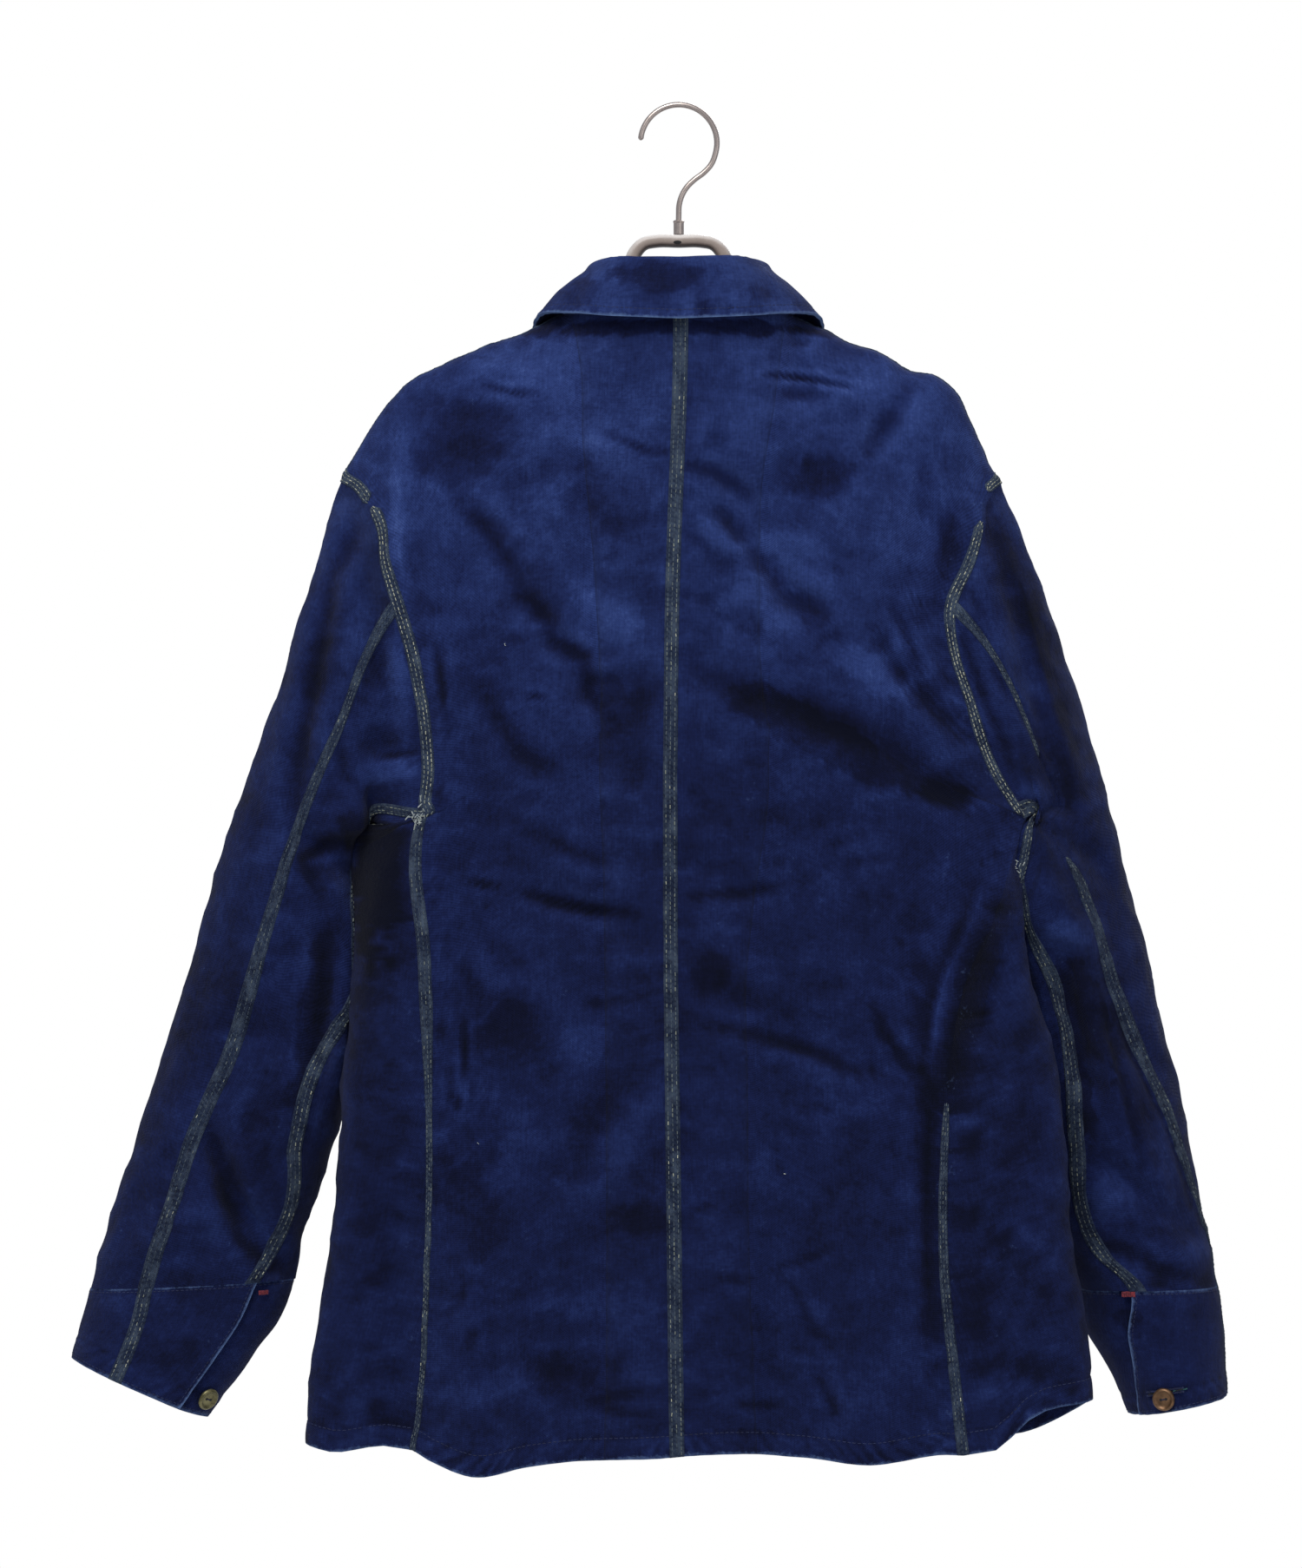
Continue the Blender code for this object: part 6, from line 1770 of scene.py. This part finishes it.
def collar_section(seam, rise, fold, rim):
    """One cut through the collar: up the stand, over the fold line, down the fall."""
    away = unit((rim - fold) * (1, 1, 0))
    up = np.array([0, 0, 1.0])
    start = seam + rise * COLLAR_SEAM_GAP
    turn = fold + away * 6.4 - up * 2.6
    path = [start, start + rise * 5.0, start * 0.45 + fold * 0.55, fold - up * 3.0]
    path += [fold + away * 1.2 - up * 0.4, fold + away * 4.2 + up * 0.2, turn]
    for f in (0.3, 0.55, 0.8, 1.0):
        bulge = away * COLLAR_BULGE * math.sin(math.pi * f)
        path.append(turn * (1 - f) + rim * f + bulge)
    return path


def neck_edge(patches, normals):
    """Neck edge as (points, normals), from the left front round the back to the right front."""
    points, outward = [], []
    for name, reverse in (("front_left", False), ("back_left", True), ("back_right", False),
                          ("front_right", True)):
        start = LAP_COLUMNS if name.startswith("front") else 0
        columns = slice(start, start + NECK_COLUMNS + 1)
        grid, normal = patches[name][0][0][columns], normals[name][0][columns]
        if reverse:
            grid, normal = grid[::-1], normal[::-1]
        if points:
            grid, normal = grid[1:], normal[1:]
        points.extend(grid)
        outward.extend(normal)
    return np.array(points), np.array(outward)


def collar_grid(edge, outward):
    """Collar mid surface, with one smooth section for each point of the neck edge."""
    along = np.gradient(edge, axis=0)
    shares = np.linspace(-1, 1, len(edge))
    columns = []
    for j, share in enumerate(shares):
        sign = -1 if share < 0 else 1
        seam = edge[j] - outward[j] * WALL / 2
        rise = collar_rise(along[j], outward[j], seam)
        fold = collar_guide(FOLD_LINE, abs(share), sign)
        rim = collar_guide(COLLAR_EDGE, abs(share), sign)
        path = np.array(collar_section(seam, rise, fold, rim))
        length = run_lengths(path[None])[0]
        at = np.linspace(0, length[-1], COLLAR_ROWS)
        curves = [smooth_curve(list(zip(length, path[:, k]))) for k in range(3)]
        columns.append(np.stack([curve(at) for curve in curves], axis=-1))
    return np.array(columns).transpose(1, 0, 2)


COLLAR_CREASES = [
    (12, -2.2, ((-34, -108), (-12, -109), (10, -108))),
    (3.5, -1.3, ((12, -120), (17, -129), (16, -133))),
    (3.5, 1.0, ((19, -119), (24, -130))),
    (3.5, -1.2, ((27, -121), (31, -131))),
    (4, -1.0, ((-58, -112), (-66, -124))),
    (4, -0.9, ((50, -112), (62, -124))),
    (5, -0.9, ((-30, -122), (-6, -124))),
]


def collar_surface(patches, normals):
    """The collar's mid surface; its normals point out of the stand and so into the fall."""
    edge, outward = neck_edge(patches, normals)
    grid = collar_grid(edge, outward)
    normal = own_normals(grid, grid * (1, 1, 0))
    if np.sum(normal[0] * outward) < 0:
        normal = -normal
    normal[0] = outward
    return grid, normal


def collar_relief(grid, normal, along, away):
    """Height of the collar, and its colour from relief, darker in hollows as painted shade: its creases,
    crumple, rope puckers and the groove by its edge.
    """
    row = np.arange(len(grid))[:, None]
    facing = smooth_step(normal[..., 1], 0.05, 0.45)
    placed = creases(COLLAR_CREASES, grid[..., 0], grid[..., 2]) * facing * smooth_step(row, 10, 16)
    wander = edge_noise(along, away, 24, 4.4)
    rope = np.sin(2 * math.pi * (along + 0.7 * away) / COLLAR_ROPE_PITCH + 4 * wander)
    rope = rope * np.exp(-(away / 6) ** 2)
    groove = np.exp(-((away - COLLAR_SEWN_IN) / 1.4) ** 2)
    rough = crumple(grid) * BAND_CRUMPLE_SHARE * smooth_step(row, 2, 10)
    lift = rough + (placed + 0.3 * rope - 0.5 * groove) * smooth_step(row, 12, 20)
    ragged = noise_at(grid, 8, 2.7) + 0.5 * noise_at(grid, 3.5, 6.1)
    shade_and_tones = facing * shade_and_tone_at(COLLAR_SHADE_AND_TONES, grid[..., 0], grid[..., 2], ragged)
    # Darker in hollows and rope troughs as painted shade, paler on crests where rubbed, plus the listed
    # patches
    wear = SHADE_AND_WEAR_FROM_LIFT * (placed + 0.5 * rough) + 0.2 * rope + shade_and_tones
    return lift, np.clip(wear, *COLLAR_WEAR_AND_SHADE_LIMITS)


def add_collar(patches, normals, materials):
    """One turned-down collar with a worn pale rim and a tonal row of stitches."""
    grid, normal = collar_surface(patches, normals)
    along, away = from_edge(grid, "bottom")
    lift, wear = collar_relief(grid, normal, along, away)
    # The outside of the fall is the side that the stand has inside
    middle = grid - normal * lift[..., None]
    half = COLLAR_CLOTH / 2
    shown = middle - normal * half
    points, faces = wall_mesh(middle + normal * half, shown)
    pale = np.clip(worn_edge(COLLAR_PALE, away), 0, 1)
    piece = add_mesh("collar_cloth", points, faces, materials["denim"], "denim", cut=flat_cut(along, away),
                     wear=both_faces(wear), pale=both_faces(pale))
    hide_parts("collar")
    shares = np.linspace(0.005, 0.995, 400)
    surface = (turn_to(shown, "bottom"), turn_to(-normal, "bottom"))
    row = lines_at(surface, [COLLAR_SEWN_IN + 0 * shares], shares)[0]
    thread = add_stitches("collar_stitches", [row], 2.8, 31, materials["dark_thread"], width=0.5, proud=0.22)


def surface_of(panel, edge):
    return turn_to(panel["points"], edge), turn_to(panel["normal"], edge)


def part_of(surface, rows):
    return surface[0][rows], surface[1][rows]


def armhole_ring(top, under, behind):
    """The sleeve's rows at the armhole, in the order of the body panel's own edge."""
    pair = []
    for key in ("points", "normal"):
        upper, lower = top[key], under[key]
        if behind:
            ring = np.concatenate([upper[:, FRONT_RING_ROWS:], lower[:, 1:]], axis=1)
        else:
            ring = upper[:, FRONT_RING_ROWS::-1]
        pair.append(np.swapaxes(ring, 0, 1))
    return tuple(pair)


def body_seams(name, mine, materials, seed):
    """Side seam and both halves of the armhole seam. Returns the back's trims and the front's."""
    back, front = surface_of(mine["back"], "end"), surface_of(mine["front"], "end")
    top, under = mine["sleeve_top"], mine["sleeve_under"]
    side = add_strip("side_" + name, part_of(front, slice(FRONT_RING_ROWS, None)),
                     part_of(back, slice(BACK_RING_ROWS, None)), SIDE_REACH[name], materials, seed,
                     tint=STITCH_TINTS["side"])
    behind = add_strip("armhole_back_" + name, armhole_ring(top, under, True),
                       part_of(back, slice(0, BACK_RING_ROWS + 1)), ARMHOLE_REACH[name], materials, seed + 1,
                       tint=STITCH_TINTS["armhole_back"])
    ahead = add_strip("armhole_front_" + name, armhole_ring(top, under, False),
                      part_of(front, slice(0, FRONT_RING_ROWS + 1)), FRONT_ARMHOLE_REACH, materials, seed + 2)
    return side + behind, ahead


def elbow_seam(name, mine, materials, seed):
    return add_strip("elbow_" + name, surface_of(mine["sleeve_top"], "end"),
                     surface_of(mine["sleeve_under"], "start"), ELBOW_REACH[name], materials, seed,
                     tint=STITCH_TINTS["elbow"])


def inseam(name, mine, materials, seed):
    return add_strip("inseam_" + name, surface_of(mine["sleeve_under"], "end"),
                     surface_of(mine["sleeve_top"], "start"), INSEAM_REACH[name], materials, seed)


def shoulder_seam(name, mine, materials, seed):
    behind = part_of(surface_of(mine["back"], "top"), slice(NECK_COLUMNS, None))
    ahead = part_of(surface_of(mine["front"], "top"), slice(LAP_COLUMNS + NECK_COLUMNS, None))
    return add_strip("shoulder_" + name, behind, ahead, SHOULDER_REACH, materials, seed, wobble=0.08)


def cuff_seam(name, mine, materials, seed):
    """The elbow seam's strip goes on down the cuff."""
    points, normal = mine["cuff"]["points"], mine["cuff"]["normal"]
    return add_strip("cuff_elbow_" + name, (points[:, UNDER_COLUMNS::-1], normal[:, UNDER_COLUMNS::-1]),
                     (points[:, UNDER_COLUMNS:], normal[:, UNDER_COLUMNS:]), EVEN_REACH, materials, seed)


def add_seams(panels, materials):
    """Every felled seam with its stitches. Returns the trims of each panel."""
    trims = {name: [] for name in panels}
    middle = [surface_of(panels[name], "start") for name in ("back_left", "back_right")]
    trims["back_left"] += add_strip("centre_back", *middle, EVEN_REACH, materials, 11)
    for name, seed in (("left", 20), ("right", 30)):
        mine = {key.removesuffix("_" + name): panel for key, panel in panels.items() if key.endswith(name)}
        behind, ahead = body_seams(name, mine, materials, seed)
        trims["back_" + name] += behind
        trims["front_" + name] += ahead
        trims["sleeve_top_" + name] += elbow_seam(name, mine, materials, seed + 3)
        trims["sleeve_under_" + name] += inseam(name, mine, materials, seed + 4)
        trims["front_" + name] += shoulder_seam(name, mine, materials, seed + 5)
        trims["cuff_" + name] += cuff_seam(name, mine, materials, seed + 6)
    return trims


def edge_row(panel, edge, distance, start=0.004, end=0.996):
    """A line on a panel at a distance in from one edge."""
    shares = np.linspace(start, end, 500)
    return lines_at(surface_of(panel, edge), [distance + 0 * shares], shares)[0]


def add_edge_sewing(panels, trims, materials):
    """Hem, front edge and cuff rows of stitches, in the cloth's own colour."""

    def sew(name, panel, rows, pitch, seed):
        thread = add_stitches("stitches_" + name, rows, pitch, seed, materials["dark_thread"], proud=0.2)
        trims[panel].append(thread)

    for name in ("left", "right"):
        for kind in ("back", "front"):
            panel = f"{kind}_{name}"
            sew("hem_" + panel, panel, [edge_row(panels[panel], "bottom", HEM_WIDTH)], 3.2, 51)
        front, cuff = "front_" + name, "cuff_" + name
        rows = [edge_row(panels[front], "start", distance, 0.012) for distance in FRONT_EDGE_SEWING]
        sew("front_edge_" + name, front, rows, 3.2, 53)
        rows = [edge_row(panels[cuff], edge, distance) for edge, distance in CUFF_SEWING.items()]
        sew(cuff, cuff, rows, 2.9, 57)


def bar(name, place, normal, way, size, count, material, seed):
    """Close satin stitches side by side: a bartack, or one lip of a buttonhole."""
    length, width = size
    normal, way = unit(np.asarray(normal, float)), unit(np.asarray(way, float))
    way = unit(way - normal * np.dot(way, normal))
    side = np.cross(normal, way)
    rows = []
    for share in (np.arange(count) + 0.5) / count - 0.5:
        middle = place + way * length * share
        ends = [middle - side * width / 2, middle + side * width / 2]
        rows.append(np.array([np.concatenate([end, normal]) for end in ends]))
    return add_stitches(name, rows, width * 0.98, seed, material, width=length / count * 1.05, proud=0.5)


def buttonhole(name, place, normal, way, length, materials, seed):
    """A worked slit: two lips of close stitches, and between them a dark bar as painted shade in the slit."""
    normal, way = unit(np.asarray(normal, float)), unit(np.asarray(way, float))
    way = unit(way - normal * np.dot(way, normal))
    side = np.cross(normal, way)
    made = []
    for number, (letter, offset) in enumerate((("a", -1.15), ("b", 1.15))):
        made.append(bar(f"{name}_lip_{letter}", place + side * offset, normal, way, (length, 1.5),
                        int(length / 0.8), materials["dark_thread"], seed + number))
    made.append(bar(name + "_slit", place - normal * 0.1, normal, way, (length * 0.94, 0.9), 3,
                    materials["hole"], seed + 3))
    return made


def add_front_buttonholes(trims, materials):
    for number, z in enumerate(FRONT_BUTTON_HEIGHTS, 1):
        spot = np.array([-2.0, front_height(z) + 0.3, z])
        trims["front_left"] += buttonhole(f"buttonhole_{number}", spot, (0, 1, 0), (1, 0, 0),
                                          FRONT_HOLE_LENGTH, materials, 61)


def add_cuff_trims(trims, materials):
    """Red bartacks at both slits; a buttonhole with one green end on the buttoned cuff."""
    for side in (LEFT, RIGHT):
        t, turn, size = BARTACKS[side.name]
        here, normal, around = cuff_spot(side, t, turn)
        trims["cuff_" + side.name].append(bar("bartack_" + side.name, here + normal * 0.7, normal, around,
                                              size, 9, materials["red_thread"], 71))
    here, normal, around = cuff_spot(RIGHT, *RIGHT_CUFF_HOLE)
    trims["cuff_right"] += buttonhole("cuff_buttonhole_right", here + normal * 0.4, normal, around,
                                      CUFF_HOLE_LENGTH, materials, 73)
    here, normal, around = cuff_spot(RIGHT, *GREEN_END)
    trims["cuff_right"].append(bar("green_end", here + normal * 0.9, normal, around, (9, 1.0), 9,
                                   materials["green_thread"], 75))


def add_tufts(panels, trims, materials):
    """Frayed ends and lint, each where the photograph has it."""
    for name, (x, z, owner, spread, count) in TUFTS.items():
        spot, normal = nearest_on(panels[owner], x, z)
        trims[owner].append(tuft(name, spot, normal, spread, count, materials["pale_thread"]))


def nearest_on(panel, x, z):
    """Point of a panel's back that the photograph shows at (x, z)."""
    points, normal = panel["points"].reshape(-1, 3), panel["normal"].reshape(-1, 3)
    gap = np.hypot(points[:, 0] - x, points[:, 2] - z) + 1000 * (normal[:, 1] > 0.2)
    k = int(np.argmin(gap))
    return points[k], normal[k]


def tuft(name, place, normal, spread, count, material):
    """A frayed knot or a bit of lint: short loose fibres."""
    draw = np.random.default_rng(int(abs(place[0]) * 10))
    rows = []
    for _ in range(count):
        middle = place + draw.normal(0, spread / 3, 3) * (1, 0.25, 1)
        way = unit(draw.normal(0, 1, 3) * (1, 0.3, 1.2)) * draw.uniform(0.3, 0.55) * spread
        lift = normal * draw.uniform(0.4, 1.0)
        rows.append(np.array([np.concatenate([middle + way * end + lift, normal]) for end in (-1, 1)]))
    return add_stitches(name, rows, spread * 0.55, 5, material, width=0.5, proud=0.4)


def add_floor():
    """Pale floor well below the jacket."""
    bpy.ops.mesh.primitive_circle_add(vertices=96, radius=FLOOR_RADIUS, fill_type="NGON",
                                      location=(0, 0, FLOOR_HEIGHT))
    floor = bpy.context.object
    floor.name = "floor"
    shader = Shader("floor_pale", roughness=0.9)
    shader.surface.inputs["Base Color"].default_value = linear(228, 228, 228)
    floor.data.materials.append(shader.material)


def add_surroundings():
    """White where the camera sees them, and a weak cool light for everything else."""
    world = bpy.data.worlds.new("studio")
    bpy.context.scene.world = world
    world.use_nodes = True
    tree = world.node_tree
    around = tree.nodes["Background"]
    around.inputs["Color"].default_value = AMBIENT_COLOUR
    around.inputs["Strength"].default_value = AMBIENT
    seen = tree.nodes.new("ShaderNodeBackground")
    seen.inputs["Color"].default_value = (1, 1, 1, 1)
    path = tree.nodes.new("ShaderNodeLightPath")
    mixed = tree.nodes.new("ShaderNodeMixShader")
    tree.links.new(path.outputs["Is Camera Ray"], mixed.inputs[0])
    tree.links.new(around.outputs[0], mixed.inputs[1])
    tree.links.new(seen.outputs[0], mixed.inputs[2])
    tree.links.new(mixed.outputs[0], tree.nodes["World Output"].inputs["Surface"])


def add_lights():
    """Large soft lights: a key and a weak fill behind the jacket, and one in front of it."""
    for name, place, size, power in LIGHTS:
        lamp = bpy.data.lights.new(name, "AREA")
        lamp.size = size
        lamp.energy = power
        light = bpy.data.objects.new(name, lamp)
        light.location = place
        light.rotation_euler = (Vector(LIGHT_TARGET) - Vector(place)).to_track_quat("-Z", "Y").to_euler()
        bpy.context.scene.collection.objects.link(light)


def add_camera():
    """Level camera behind the jacket, framed as the photograph is."""
    lens = bpy.data.cameras.new("camera")
    lens.sensor_width = CAMERA_SENSOR
    lens.lens = CAMERA_SENSOR * CAMERA_DISTANCE / PHOTO_HEIGHT
    camera = bpy.data.objects.new("camera", lens)
    x, y, z = VIEW_CENTRE
    camera.location = (x * MM, (y - CAMERA_DISTANCE) * MM, z * MM)
    camera.rotation_euler = (math.pi / 2, 0, 0)
    bpy.context.scene.collection.objects.link(camera)
    bpy.context.scene.camera = camera
    bpy.context.scene.view_settings.view_transform = "Standard"


def main():
    materials = all_materials()
    patches = cloth_patches()
    normals = shared_normals(patches)
    panels = {name: dress(name, grid, normals[name]) for name, (grid, _hint) in patches.items()}
    trims = add_seams(panels, materials)
    add_edge_sewing(panels, trims, materials)
    add_front_buttonholes(trims, materials)
    add_cuff_trims(trims, materials)
    add_tufts(panels, trims, materials)
    add_hanger(materials)
    add_hook(materials["hook"])
    add_ferrule(materials["hook"])
    for name, panel in panels.items():
        thickness = CUFF_CLOTH if name.startswith("cuff") else CLOTH
        piece = add_cloth(name + "_cloth", panel, thickness, materials["denim"])
        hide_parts(name)
    add_collar(patches, normals, materials)
    add_front_buttons(materials)
    add_cuff_buttons(materials)
    add_floor()
    add_surroundings()
    add_lights()
    add_camera()


main()
